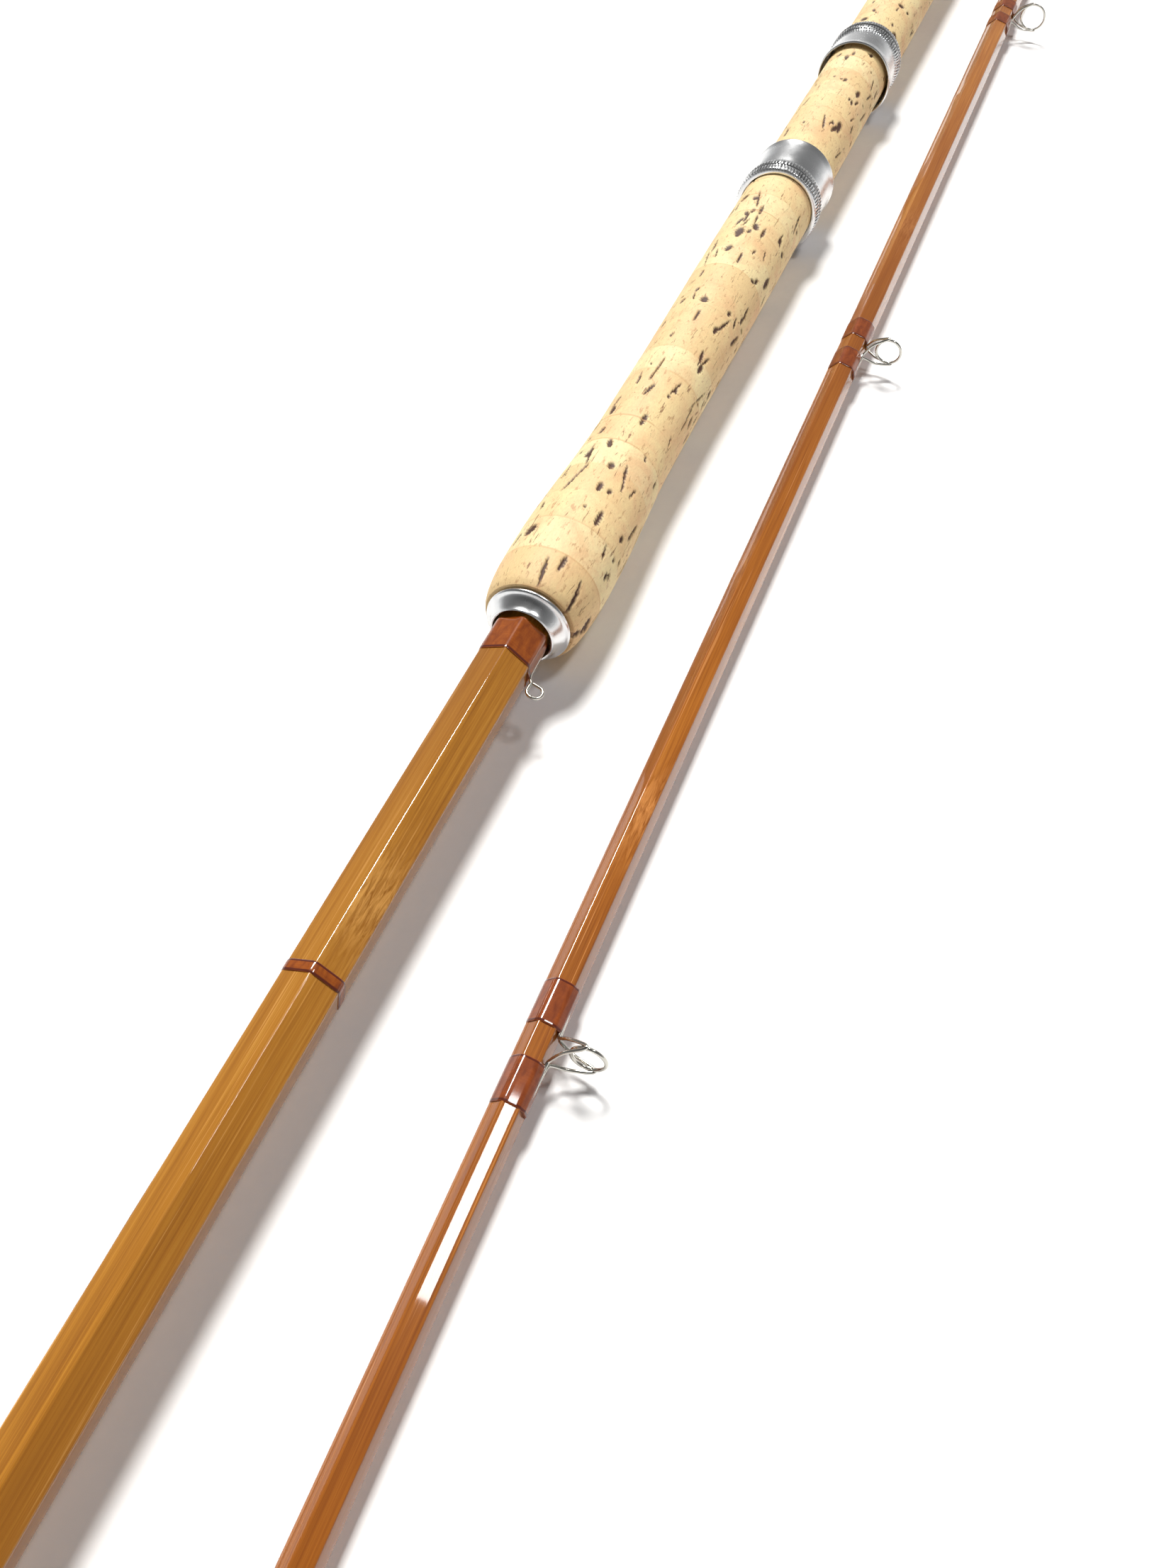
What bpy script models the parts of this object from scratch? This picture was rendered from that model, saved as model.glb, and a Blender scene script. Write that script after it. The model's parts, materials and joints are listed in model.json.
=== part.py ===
"""A two-piece split-cane coarse rod, laid out on a table as its two sections.

The butt section has a full cork grip with two sliding reel bands. The top section lies beside it.
Both are six-sided: six bamboo strips of triangular section glued together round the section's axis.

Units are metres. +X runs from the butt cap towards the rod tip, +Z is up, and the origin is the
middle of the footprint, on the table. Each section is modelled along its own axis: x = 0 is the
face of the butt cap on the butt section, and the nose of the male ferrule on the top section.
"""

import math

import bmesh
import bpy
from mathutils import Euler, Matrix, Vector

# Overall sizes
SECTION_LENGTH = 1.690
GRIP_LENGTH = 0.612  # rubber button and cork, up to the winding check
SECTION_SPACING = 0.0435  # between the axes of the two sections as they lie
TOP_SECTION_SETBACK = 0.010  # how far the top section's end lies behind the butt button

# Split cane, measured across the flats
BUTT_FLAT_IN_GRIP = 0.0129
BUTT_FLAT_AT_CHECK = 0.0126
BUTT_FLAT_PAST_SWELL = 0.0115
BUTT_SWELL_LENGTH = 0.200
BUTT_FLAT_AT_FERRULE = 0.0092
TOP_FLAT_AT_FERRULE = BUTT_FLAT_AT_FERRULE + 0.0002
TOP_FLAT_AT_TIP = 0.0025
GLUE_LINE = 0.0001
STRIPS = 6
CORNER = 1 / math.cos(math.pi / STRIPS)  # from half a size across the flats to a corner's radius
BUTT_FACET = math.radians(100)  # the facet that carries the rings, from straight up towards +Y
TOP_FACET = math.radians(78)

# Cork grip and its fittings
GRIP_RADIUS = 0.0127
WAIST_RADIUS = GRIP_RADIUS - 0.00065
SWELL_RADIUS = GRIP_RADIUS + 0.0013
CORK_ON_CANE = 0.00025
GRIP_BORE_RADIUS = max(BUTT_FLAT_IN_GRIP, BUTT_FLAT_AT_CHECK) / 2 * CORNER + CORK_ON_CANE
WAIST_START = 0.190  # these four are behind the winding check
WAIST_FULL = 0.110
SWELL_START = 0.080
SWELL_PEAK = 0.023
FIT_GAP = 0.0003
CAP_LENGTH = 0.016
CAP_WALL = 0.0008
CAP_RADIUS = GRIP_RADIUS + CAP_WALL + FIT_GAP
CAP_CHAMFER = 0.0008
BUTTON_LENGTH = 0.008
BUTTON_RADIUS = CAP_RADIUS - 0.0014
BUTTON_ROUNDING = 0.0016
BUTTON_STEM_RADIUS = 0.004
BUTTON_STEM_LENGTH = 0.0035
CANE_IN_BUTTON = 0.006  # from the button's face plate to the end of the cane in the grip
CHECK_RADIUS = GRIP_RADIUS - 0.0017
CHECK_HUB_RADIUS = GRIP_BORE_RADIUS + 0.0007
CHECK_LENGTH = 0.0052
CHECK_RIM = 0.0012
CHECK_DISH = 0.27  # share of the way from hub to rim, halfway along the collar
GRIP_NOSE_RADIUS = CHECK_RADIUS + 0.0002

# Reel bands
BAND_LENGTH = 0.0245
BAND_MOUTH_RADIUS = GRIP_RADIUS + 0.0022
BAND_WALL = 0.0007
BAND_RIM_RADIUS = GRIP_RADIUS + 0.0021
BAND_RIM_LENGTH = 0.0085
BAND_GROOVE = 0.0004
BAND_BORE_RADIUS = GRIP_RADIUS + FIT_GAP
REAR_BAND_FROM_CHECK = 0.3614  # to the middle of each band
FRONT_BAND_FROM_CHECK = 0.2418

# Whippings
SILK = 0.00035
SILK_GAP = 0.0001
GRIP_WHIPPING_LENGTH = 0.0115
MARK_WHIPPING_LENGTH = 0.0028
MARK_WHIPPING_FROM_CHECK = 0.1114
RING_WHIPPING_LENGTH = 0.0106

# Ferrules: a straight tube on the butt section, and a plug on the top section
SOCKET_RADIUS = BUTT_FLAT_AT_FERRULE / 2 * CORNER + 0.00014
FERRULE_RADIUS = SOCKET_RADIUS + 0.00075
PLUG_CLEARANCE = 0.00005
PLUG_LENGTH = 0.042
PLUG_CHAMFER = 0.0006
FERRULE_ON_CANE = 0.024
FERRULE_TAPER = 0.004  # where each ferrule thins down on to its cane
FERRULE_EDGE = 0.0002
FERRULE_WHIPPING_LENGTH = 0.014
FERRULE_WHIPPING_LAP = 0.006
WELT_LENGTH = 0.003
WELT_HEIGHT = 0.0004

# Rings. Each is brazed up from a round hoop and two side wires that meet at a flattened foot.
FIRST_TOP_RING = 0.156
LAST_TOP_RING_FROM_TIP = 0.153
SPACING_RATIO = 0.89
TOP_RINGS = 7
FIRST_BUTT_RING_FROM_CHECK = 0.472
LAST_BUTT_RING_FROM_FERRULE = 0.1587
BUTT_HOOPS = (0.0145, 0.0130)
FIRST_TOP_HOOP = 0.0112
SECOND_TOP_HOOP = 0.0086
LAST_TOP_HOOP = 0.0064
TIP_HOOP = 0.0056
HOOP_WIRE = 0.0009
FRAME_WIRE = 0.0008
BRAZED = 0.0004  # how far a side wire runs into the hoop
HOOP_CLEAR = 0.0038  # between a facet and the near edge of a hoop
RING_WINDOW = 0.0078  # between the two whippings of a ring
FOOT_WIDTH = 0.0012
FOOT_HEIGHT = 0.0006
FOOT_LENGTH = 0.0085
FOOT_SHOWS = 0.0012  # how much of a foot is bare, between its whipping and the wires
TIP_TUBE_LENGTH = 0.012
TIP_TUBE_WALL = 0.0003
TIP_TUBE_PAST_CANE = 0.0015
TIP_HOOP_REACH = 0.0052  # of the end ring's hoop past the cane
TIP_STAY_START = 0.005  # behind the cane's end
TIP_WHIPPING_LENGTH = 0.008
KEEPER_PAST_WHIPPING = 0.0012
KEEPER_RISE = 0.0015  # of its point above the facet
KEEPER_REACH = 0.0030  # from the point of the teardrop to the middle of its round end
KEEPER_WIDTH = 0.0047
KEEPER_WIRE = 0.0009
KEEPER_LEAN = math.radians(38)  # from the section's axis

ROUND_STEPS = 32
HOOP_STEPS = 16
WIRE_SIDES = 6

COLLECTION = "split_cane_rod"
GUIDES = "construction"


def start_scene():
    for obj in list(bpy.data.objects):
        bpy.data.objects.remove(obj)
    for name in (COLLECTION, GUIDES):
        bpy.context.scene.collection.children.link(bpy.data.collections.new(name))
    bpy.data.collections[GUIDES].hide_render = True


def keep(obj, material, parent, collection=COLLECTION):
    """Links an object, gives it its material and hangs it on its section."""
    if obj.name not in bpy.data.collections[collection].objects:
        bpy.data.collections[collection].objects.link(obj)
    obj.data.materials.clear()
    obj.data.materials.append(material)
    obj.parent = parent
    return obj


def principled(name, colour, metallic, roughness, coat=0.0):
    material = bpy.data.materials.new(name)
    material.use_nodes = True
    shader = material.node_tree.nodes["Principled BSDF"]
    shader.inputs["Base Color"].default_value = (*colour, 1)
    shader.inputs["Metallic"].default_value = metallic
    shader.inputs["Roughness"].default_value = roughness
    shader.inputs["Coat Weight"].default_value = coat
    return material


def smooth(mesh):
    mesh.shade_smooth()
    mesh.set_sharp_from_angle(angle=math.radians(35))


def turned(name, outline, material, parent, x=0.0, closed=True, steps=ROUND_STEPS):
    """A solid turned about the section's axis.

    The outline is (x, radius) pairs: its outer side in rising x, then its inner side back. The screw
    turns it about local Z, so local Z is laid along the section, and the outer side runs top down.
    """
    points = [(radius, 0, height) for height, radius in reversed(outline)]
    edges = [(i, i + 1) for i in range(len(points) - 1)]
    if closed:
        edges.append((len(points) - 1, 0))
    mesh = bpy.data.meshes.new(name)
    mesh.from_pydata(points, edges, [])
    obj = bpy.data.objects.new(name, mesh)
    obj.location = (x, 0, 0)
    obj.rotation_euler = (0, math.pi / 2, 0)
    screw = obj.modifiers.new("turn", "SCREW")
    screw.steps = steps
    screw.render_steps = steps
    screw.use_merge_vertices = True
    screw.merge_threshold = 0.00001
    screw.use_smooth_shade = True
    return keep(obj, material, parent)


def eased(t):
    """A smooth step from 0 to 1."""
    t = min(max(t, 0.0), 1.0)
    return t * t * (3 - 2 * t)


def butt_flat(x):
    """Size across the flats of the butt section at x: it swells towards the grip."""
    past_check = x - GRIP_LENGTH
    if past_check < 0:
        return BUTT_FLAT_IN_GRIP + (BUTT_FLAT_AT_CHECK - BUTT_FLAT_IN_GRIP) * x / GRIP_LENGTH
    if past_check < BUTT_SWELL_LENGTH:
        share = past_check / BUTT_SWELL_LENGTH
        return BUTT_FLAT_AT_CHECK + (BUTT_FLAT_PAST_SWELL - BUTT_FLAT_AT_CHECK) * share
    share = (past_check - BUTT_SWELL_LENGTH) / (butt_cane_end() - GRIP_LENGTH - BUTT_SWELL_LENGTH)
    return BUTT_FLAT_PAST_SWELL + (BUTT_FLAT_AT_FERRULE - BUTT_FLAT_PAST_SWELL) * share


def top_flat(x):
    """Size across the flats of the top section at x: a straight taper."""
    share = (x - PLUG_LENGTH) / (SECTION_LENGTH - PLUG_LENGTH)
    return TOP_FLAT_AT_FERRULE + (TOP_FLAT_AT_TIP - TOP_FLAT_AT_FERRULE) * share


def butt_cane_end():
    """The cane ends where the socket begins, deep enough for the plug."""
    return SECTION_LENGTH - PLUG_LENGTH - FIT_GAP


def butt_ring_places():
    """(x, outside diameter) of the butt section's rings: one from the check, one from the ferrule."""
    first = GRIP_LENGTH + FIRST_BUTT_RING_FROM_CHECK
    last = butt_cane_end() - FERRULE_ON_CANE - LAST_BUTT_RING_FROM_FERRULE
    return list(zip((first, last), BUTT_HOOPS))


def cane_strips(prefix, facet, stations, flat_at, material, parent):
    """Six tapered strips round the axis: each sweeps one triangle, scaled by the taper."""
    size = flat_at(stations[0])
    half_width = size / 2 * math.tan(math.pi / STRIPS) - GLUE_LINE / 2 * CORNER
    triangle = [(GLUE_LINE, 0), (size / 2, half_width), (size / 2, -half_width)]
    for number in range(STRIPS):
        angle = facet + number * 2 * math.pi / STRIPS
        section = bpy.data.curves.new(f"{prefix}_section_{number + 1}", "CURVE")
        section.dimensions = "2D"
        outline = section.splines.new("POLY")
        outline.points.add(2)
        outline.use_cyclic_u = True
        for point, (out, along) in zip(outline.points, triangle):
            y = out * math.sin(angle) + along * math.cos(angle)
            z = out * math.cos(angle) - along * math.sin(angle)
            point.co = (-y, z, 0, 1)
        guide = bpy.data.objects.new(section.name, section)
        guide.hide_render = True
        guide.display_type = "WIRE"
        bpy.data.collections[GUIDES].objects.link(guide)

        path = bpy.data.curves.new(f"{prefix}_{number + 1}", "CURVE")
        path.dimensions = "3D"
        path.twist_mode = "Z_UP"
        path.bevel_mode = "OBJECT"
        path.bevel_object = guide
        path.use_fill_caps = True
        spline = path.splines.new("POLY")
        spline.points.add(len(stations) - 1)
        for point, x in zip(spline.points, stations):
            point.co = (x, 0, 0, 1)
            point.radius = flat_at(x) / size
        keep(bpy.data.objects.new(path.name, path), material, parent)


def six_sided(half_flat, bump=None):
    """A hexagon with its first facet at +X. A bump (half width, height) rides over a ring's foot."""
    corner = half_flat * CORNER
    points = []
    if bump:
        half_width, height = bump
        top = half_flat + height
        base = min(half_width + height, half_flat * math.tan(math.pi / STRIPS) - SILK_GAP / 4)
        points = [(half_flat, -base), (top, -half_width), (top, half_width), (half_flat, base)]
    for side in range(STRIPS):
        angle = math.pi / STRIPS + side * 2 * math.pi / STRIPS
        points.append((corner * math.cos(angle), corner * math.sin(angle)))
    return points


def whipping(name, facet, start, length, flat, material, parent, over_foot=False):
    """A sleeve of silk round the cane: a flat outline with the cane's hole in it, extruded."""
    inner = flat / 2 + SILK_GAP
    inner_bump = outer_bump = None
    if over_foot:
        reach = SILK_GAP + FOOT_HEIGHT
        inner_bump = (FOOT_WIDTH / 2 + SILK_GAP, reach)
        outer_bump = (FOOT_WIDTH / 2 + SILK_GAP + SILK / 2, reach)
    curve = bpy.data.curves.new(name, "CURVE")
    curve.dimensions = "2D"
    curve.fill_mode = "BOTH"
    curve.extrude = length / 2
    for outline in (six_sided(inner + SILK, outer_bump), six_sided(inner, inner_bump)):
        spline = curve.splines.new("POLY")
        spline.points.add(len(outline) - 1)
        spline.use_cyclic_u = True
        for point, (out, along) in zip(spline.points, outline):
            point.co = (out, along, 0, 1)
    obj = bpy.data.objects.new(name, curve)
    obj.matrix_local = facet_frame(start + length / 2, facet) @ axes_matrix()
    return keep(obj, material, parent)


def facet_frame(x, facet):
    """A frame on the axis at x: local X along the section, and local Z out of the facet."""
    return Matrix.Translation((x, 0, 0)) @ Matrix.Rotation(-facet, 4, "X")


def axes_matrix():
    """Turns a flat outline's X, Y and Z into a facet frame's Z, Y and -X."""
    return Matrix(((0, 0, -1, 0), (0, 1, 0, 0), (1, 0, 0, 0), (0, 0, 0, 1)))


def mesh_from(obj):
    """A curve made into a closed mesh object, with its caps welded."""
    graph = bpy.context.evaluated_depsgraph_get()
    mesh = bpy.data.meshes.new_from_object(obj.evaluated_get(graph))
    work = bmesh.new()
    work.from_mesh(mesh)
    bmesh.ops.remove_doubles(work, verts=work.verts, dist=0.000001)
    bmesh.ops.recalc_face_normals(work, faces=work.faces)
    work.to_mesh(mesh)
    work.free()
    made = bpy.data.objects.new(obj.name + "_mesh", mesh)
    bpy.data.objects.remove(obj)
    return made


def wire(name, points, diameter, cyclic=False):
    """A round wire along a smooth curve through the points, as a closed mesh object."""
    curve = bpy.data.curves.new(name, "CURVE")
    curve.dimensions = "3D"
    curve.bevel_depth = diameter / 2
    curve.bevel_resolution = WIRE_SIDES // 2 - 2
    curve.use_fill_caps = True
    curve.resolution_u = 2
    spline = curve.splines.new("BEZIER")
    spline.bezier_points.add(len(points) - 1)
    spline.use_cyclic_u = cyclic
    for point, place in zip(spline.bezier_points, points):
        point.co = place
        point.handle_left_type = "AUTO"
        point.handle_right_type = "AUTO"
    obj = bpy.data.objects.new(name, curve)
    bpy.data.collections[COLLECTION].objects.link(obj)
    bpy.context.view_layer.update()
    return mesh_from(obj)


def hoop(name, outside, centre, wire_diameter=HOOP_WIRE):
    """A round hoop square to the section's axis, as a mesh object."""
    bpy.ops.mesh.primitive_torus_add(
        major_segments=HOOP_STEPS,
        minor_segments=WIRE_SIDES,
        major_radius=outside / 2 - wire_diameter / 2,
        minor_radius=wire_diameter / 2,
    )
    obj = bpy.context.object
    obj.name = name
    obj.data.transform(Matrix.Translation(centre) @ Matrix.Rotation(math.pi / 2, 4, "Y"))
    for collection in list(obj.users_collection):
        collection.objects.unlink(obj)
    return obj


def block(name, low, high):
    """A plain box between two corners, as a mesh object."""
    bpy.ops.mesh.primitive_cube_add(size=1)
    obj = bpy.context.object
    obj.name = name
    low, high = Vector(low), Vector(high)
    obj.data.transform(Matrix.Translation((low + high) / 2) @ Matrix.Diagonal((*(high - low), 1)))
    for collection in list(obj.users_collection):
        collection.objects.unlink(obj)
    return obj


def joined(name, pieces, frame, material, parent):
    """One solid from pieces that overlap, as brazing joins them."""
    body = pieces[0]
    body.name = name
    keep(body, material, parent)
    for piece in pieces[1:]:
        bpy.data.collections[GUIDES].objects.link(piece)
        piece.hide_render = True
        piece.display_type = "WIRE"
        union = body.modifiers.new(piece.name, "BOOLEAN")
        union.operation = "UNION"
        union.object = piece
        union.solver = "MANIFOLD"
        piece.parent = parent
        piece.matrix_local = frame
    body.matrix_local = frame
    smooth(body.data)
    return body


def bridge_ring(name, x, facet, flat, outside, material, parent):
    """A stand-off ring: a hoop held between two side wires, which meet at a foot fore and aft."""
    base = flat / 2 + SILK_GAP
    centre = flat / 2 + HOOP_CLEAR + outside / 2
    wire_level = base + FRAME_WIRE / 2
    foot_end = RING_WINDOW / 2 + FOOT_LENGTH
    window = RING_WINDOW / 2
    side = outside / 2 + FRAME_WIRE / 2 - BRAZED
    pieces = [hoop(name, outside, (0, 0, centre))]
    for sign, hand in ((1, "left"), (-1, "right")):
        rise = [
            (window - 0.0003, sign * FRAME_WIRE * 0.3, wire_level),
            (window - 0.0012, sign * 0.0007, wire_level + 0.0003),
            (window * 0.42, sign * side * 0.72, (wire_level + centre) * 0.48),
        ]
        rise.append((HOOP_WIRE * 0.4, sign * side, centre))
        points = rise + [(-px, py, pz) for px, py, pz in reversed(rise)]
        pieces.append(wire(f"{name}_{hand}_wire", points, FRAME_WIRE))
    for sign, end in ((1, "fore"), (-1, "aft")):
        near = window - FOOT_SHOWS
        low = (near if sign > 0 else -foot_end, -FOOT_WIDTH / 2, base)
        high = (foot_end if sign > 0 else -near, FOOT_WIDTH / 2, base + FOOT_HEIGHT)
        pieces.append(block(f"{name}_{end}_foot", low, high))
    return joined(name, pieces, facet_frame(x, facet), material, parent)


def ring_set(name, x, facet, flat_at, outside, steel, silk, parent):
    """A ring and the two whippings that hold its feet. All three fit the cane's thicker end."""
    rear = x - RING_WINDOW / 2 - RING_WHIPPING_LENGTH
    front = x + RING_WINDOW / 2
    flat = flat_at(rear)
    bridge_ring(name, x, facet, flat, outside, steel, parent)
    for start, end in ((rear, "rear_whipping"), (front, "front_whipping")):
        whipping(f"{name}_{end}", facet, start, RING_WHIPPING_LENGTH, flat, silk, parent, over_foot=True)


def top_ring_places():
    """(x, outside diameter) of each ring of the top section: they close up towards the tip."""
    spaces = sum(SPACING_RATIO**number for number in range(TOP_RINGS - 1))
    x = FIRST_TOP_RING
    spacing = (SECTION_LENGTH - LAST_TOP_RING_FROM_TIP - FIRST_TOP_RING) / spaces
    places = []
    for number in range(TOP_RINGS):
        share = max(number - 1, 0) / (TOP_RINGS - 2)
        outside = SECOND_TOP_HOOP + (LAST_TOP_HOOP - SECOND_TOP_HOOP) * share
        places.append((x, FIRST_TOP_HOOP if number == 0 else outside))
        x += spacing
        spacing *= SPACING_RATIO
    return places


def grip_radius(behind_check):
    """Radius of the cork at a distance behind the winding check."""
    waist = eased((WAIST_START - behind_check) / (WAIST_START - WAIST_FULL))
    swell = eased((SWELL_START - behind_check) / (SWELL_START - SWELL_PEAK))
    radius = GRIP_RADIUS + (WAIST_RADIUS - GRIP_RADIUS) * waist
    radius += (SWELL_RADIUS - WAIST_RADIUS) * swell
    nose = max(0.0, 1 - behind_check / SWELL_PEAK)
    return radius - (SWELL_RADIUS - GRIP_NOSE_RADIUS) * (1 - math.sqrt(1 - nose**2.6))


def cork_grip(material, parent):
    start = BUTTON_LENGTH + CAP_WALL + FIT_GAP
    inside_cap = BUTTON_LENGTH + CAP_LENGTH + FIT_GAP
    end = GRIP_LENGTH - FIT_GAP
    seat = CAP_RADIUS - CAP_WALL - FIT_GAP
    shoulder = CAP_RADIUS - 0.0001
    outer = [(start, seat), (inside_cap, seat), (inside_cap, shoulder), (inside_cap + 0.004, GRIP_RADIUS)]
    distances = [WAIST_START - step * (WAIST_START - WAIST_FULL) / 4 for step in range(5)]
    distances += [SWELL_START - step * (SWELL_START - SWELL_PEAK) / 7 for step in range(8)]
    distances += [SWELL_PEAK * (1 - share) for share in (0.25, 0.5, 0.68, 0.82, 0.92)]
    outer += [(GRIP_LENGTH - distance, grip_radius(distance)) for distance in distances]
    outer += [(end, grip_radius(GRIP_LENGTH - end))]
    turned("cork_grip", outer + [(end, GRIP_BORE_RADIUS), (start, GRIP_BORE_RADIUS)], material, parent)


def butt_fittings(rubber, alloy, parent):
    """A rubber button plugged into an alloy cap over the end of the cork."""
    hole = BUTTON_STEM_RADIUS + FIT_GAP
    stem_end = BUTTON_LENGTH + BUTTON_STEM_LENGTH
    button = [
        (0, 0),
        (0, BUTTON_RADIUS - BUTTON_ROUNDING),
        (BUTTON_ROUNDING * 0.375, BUTTON_RADIUS - BUTTON_ROUNDING * 0.375),
        (BUTTON_ROUNDING * 1.25, BUTTON_RADIUS),
        (BUTTON_LENGTH - FIT_GAP, BUTTON_RADIUS),
        (BUTTON_LENGTH - FIT_GAP, BUTTON_STEM_RADIUS),
        (stem_end, BUTTON_STEM_RADIUS),
        (stem_end, 0),
    ]
    turned("butt_button", button, rubber, parent, closed=False)
    end = BUTTON_LENGTH + CAP_LENGTH
    inside = CAP_RADIUS - CAP_WALL
    cap = [
        (BUTTON_LENGTH, hole),
        (BUTTON_LENGTH, CAP_RADIUS - CAP_CHAMFER),
        (BUTTON_LENGTH + CAP_CHAMFER, CAP_RADIUS),
        (end, CAP_RADIUS),
        (end, inside),
        (BUTTON_LENGTH + CAP_WALL, inside),
        (BUTTON_LENGTH + CAP_WALL, hole),
    ]
    turned("butt_cap", cap, alloy, parent)


def winding_check(alloy, parent):
    """A dished collar that closes the front of the cork round the cane."""
    back = GRIP_LENGTH
    front = back + CHECK_LENGTH
    rounding = CHECK_RIM / 6
    outline = [
        (back, CHECK_RADIUS - rounding),
        (back + CHECK_RIM * 0.3, CHECK_RADIUS),
        (back + CHECK_RIM, CHECK_RADIUS - rounding),
        (back + CHECK_RIM * 1.3, CHECK_RADIUS - rounding * 4),
        (back + CHECK_LENGTH * 0.5, CHECK_HUB_RADIUS + (CHECK_RADIUS - CHECK_HUB_RADIUS) * CHECK_DISH),
        (front - rounding * 3, CHECK_HUB_RADIUS),
        (front, CHECK_HUB_RADIUS - rounding * 1.5),
        (front, GRIP_BORE_RADIUS),
        (back, GRIP_BORE_RADIUS),
    ]
    turned("winding_check", outline, alloy, parent)


def reel_band(name, middle, tip_side, alloy, parent):
    """A tapered sleeve. Its flared mouth takes the reel foot, and the knurled end grips the cork."""
    rim = BAND_RIM_LENGTH
    outer = [
        (0, BAND_RIM_RADIUS - BAND_GROOVE),
        (BAND_GROOVE * 1.5, BAND_RIM_RADIUS),
        (rim * 0.45, BAND_RIM_RADIUS),
        (rim * 0.5, BAND_RIM_RADIUS - BAND_GROOVE),
        (rim * 0.55, BAND_RIM_RADIUS),
        (rim, BAND_RIM_RADIUS),
        (rim + BAND_GROOVE, BAND_MOUTH_RADIUS - BAND_WALL),
        (BAND_LENGTH, BAND_MOUTH_RADIUS),
    ]
    inner = [
        (BAND_LENGTH, BAND_MOUTH_RADIUS - BAND_WALL),
        (rim, BAND_BORE_RADIUS + (BAND_MOUTH_RADIUS - BAND_WALL - BAND_BORE_RADIUS) * 0.4),
        (0, BAND_BORE_RADIUS),
    ]
    outline = outer + inner
    if tip_side:
        outline = [(BAND_LENGTH - x, radius) for x, radius in outline]
        outline.reverse()
    shifted = [(x - BAND_LENGTH / 2, radius) for x, radius in outline]
    return turned(name, shifted, alloy, parent, x=middle)


def keeper_ring(steel, parent):
    """A wire teardrop for the hook, just before the grip whipping. It leans forward off its facet."""
    apex_x = GRIP_LENGTH + CHECK_LENGTH + GRIP_WHIPPING_LENGTH + KEEPER_PAST_WHIPPING
    base = butt_flat(GRIP_LENGTH) / 2 + SILK_GAP
    apex = Vector((0, 0, base + KEEPER_RISE))
    radius = KEEPER_WIDTH / 2 - KEEPER_WIRE / 2
    points = [apex]
    for turn in (-110, -50, 0, 50, 110):
        around = KEEPER_LEAN + math.radians(turn)
        lean = Vector((math.cos(KEEPER_LEAN), 0, math.sin(KEEPER_LEAN))) * KEEPER_REACH
        points.append(apex + lean + Vector((math.cos(around), 0, math.sin(around))) * radius)
    loop = wire("keeper_loop", points, KEEPER_WIRE, cyclic=True)
    start = (-KEEPER_PAST_WHIPPING + KEEPER_WIRE / 2, 0, base + KEEPER_WIRE / 2)
    stem = wire("keeper_stem", [start, apex + Vector((KEEPER_WIRE / 3, 0, KEEPER_WIRE / 3))], KEEPER_WIRE)
    low = (-FOOT_LENGTH, -FOOT_WIDTH / 2, base)
    high = (0, FOOT_WIDTH / 2, base + FOOT_HEIGHT)
    foot = block("keeper_foot", low, high)
    joined("keeper_ring", [loop, stem, foot], facet_frame(apex_x, BUTT_FACET), steel, parent)


def ferrules(nickel, silk, butt, top):
    """A straight socket on the butt section, and on the top section the plug that fits it."""
    mouth = SECTION_LENGTH
    start = butt_cane_end() - FERRULE_ON_CANE
    socket = [
        (start, SOCKET_RADIUS + FERRULE_EDGE),
        (start + FERRULE_TAPER, FERRULE_RADIUS),
        (mouth - WELT_LENGTH, FERRULE_RADIUS),
        (mouth - WELT_LENGTH * 0.8, FERRULE_RADIUS + WELT_HEIGHT),
        (mouth - WELT_LENGTH * 0.15, FERRULE_RADIUS + WELT_HEIGHT),
        (mouth, FERRULE_RADIUS + WELT_HEIGHT * 0.5),
        (mouth, SOCKET_RADIUS),
        (start, SOCKET_RADIUS),
    ]
    turned("female_ferrule", socket, nickel, butt)

    plug_radius = SOCKET_RADIUS - PLUG_CLEARANCE
    sleeve_end = PLUG_LENGTH + FERRULE_ON_CANE
    corner = top_flat(PLUG_LENGTH) / 2 * CORNER + SILK_GAP
    plug = [
        (0, 0),
        (0, plug_radius - PLUG_CHAMFER),
        (PLUG_CHAMFER, plug_radius),
        (PLUG_LENGTH, plug_radius),
        (PLUG_LENGTH, FERRULE_RADIUS - FERRULE_EDGE / 2),
        (PLUG_LENGTH + FERRULE_EDGE * 2, FERRULE_RADIUS),
        (sleeve_end - FERRULE_TAPER, FERRULE_RADIUS),
        (sleeve_end, corner + FERRULE_EDGE),
        (sleeve_end, corner),
        (PLUG_LENGTH + FIT_GAP, corner),
        (PLUG_LENGTH + FIT_GAP, 0),
    ]
    turned("male_ferrule", plug, nickel, top, closed=False)

    lap = FERRULE_WHIPPING_LAP
    for name, edge, direction, bare, parent in (
        ("female_ferrule_whipping", start, -1, butt_flat(start), butt),
        ("male_ferrule_whipping", sleeve_end, 1, top_flat(sleeve_end), top),
    ):
        cane = bare / 2 * CORNER + SILK_GAP
        metal = FERRULE_RADIUS + SILK_GAP
        far = FERRULE_WHIPPING_LENGTH - lap
        outline = [
            (-far, cane + SILK),
            (0, cane + SILK + 0.0006),
            (lap * 0.6, metal + SILK),
            (lap, metal + SILK),
            (lap, metal),
            (lap * 0.5, metal),
            (-0.0005, cane + 0.00045),
            (-0.002, cane),
            (-far, cane),
        ]
        if direction > 0:
            outline = [(-x, radius) for x, radius in reversed(outline)]
        turned(name, [(edge + x, radius) for x, radius in outline], silk, parent)


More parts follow.
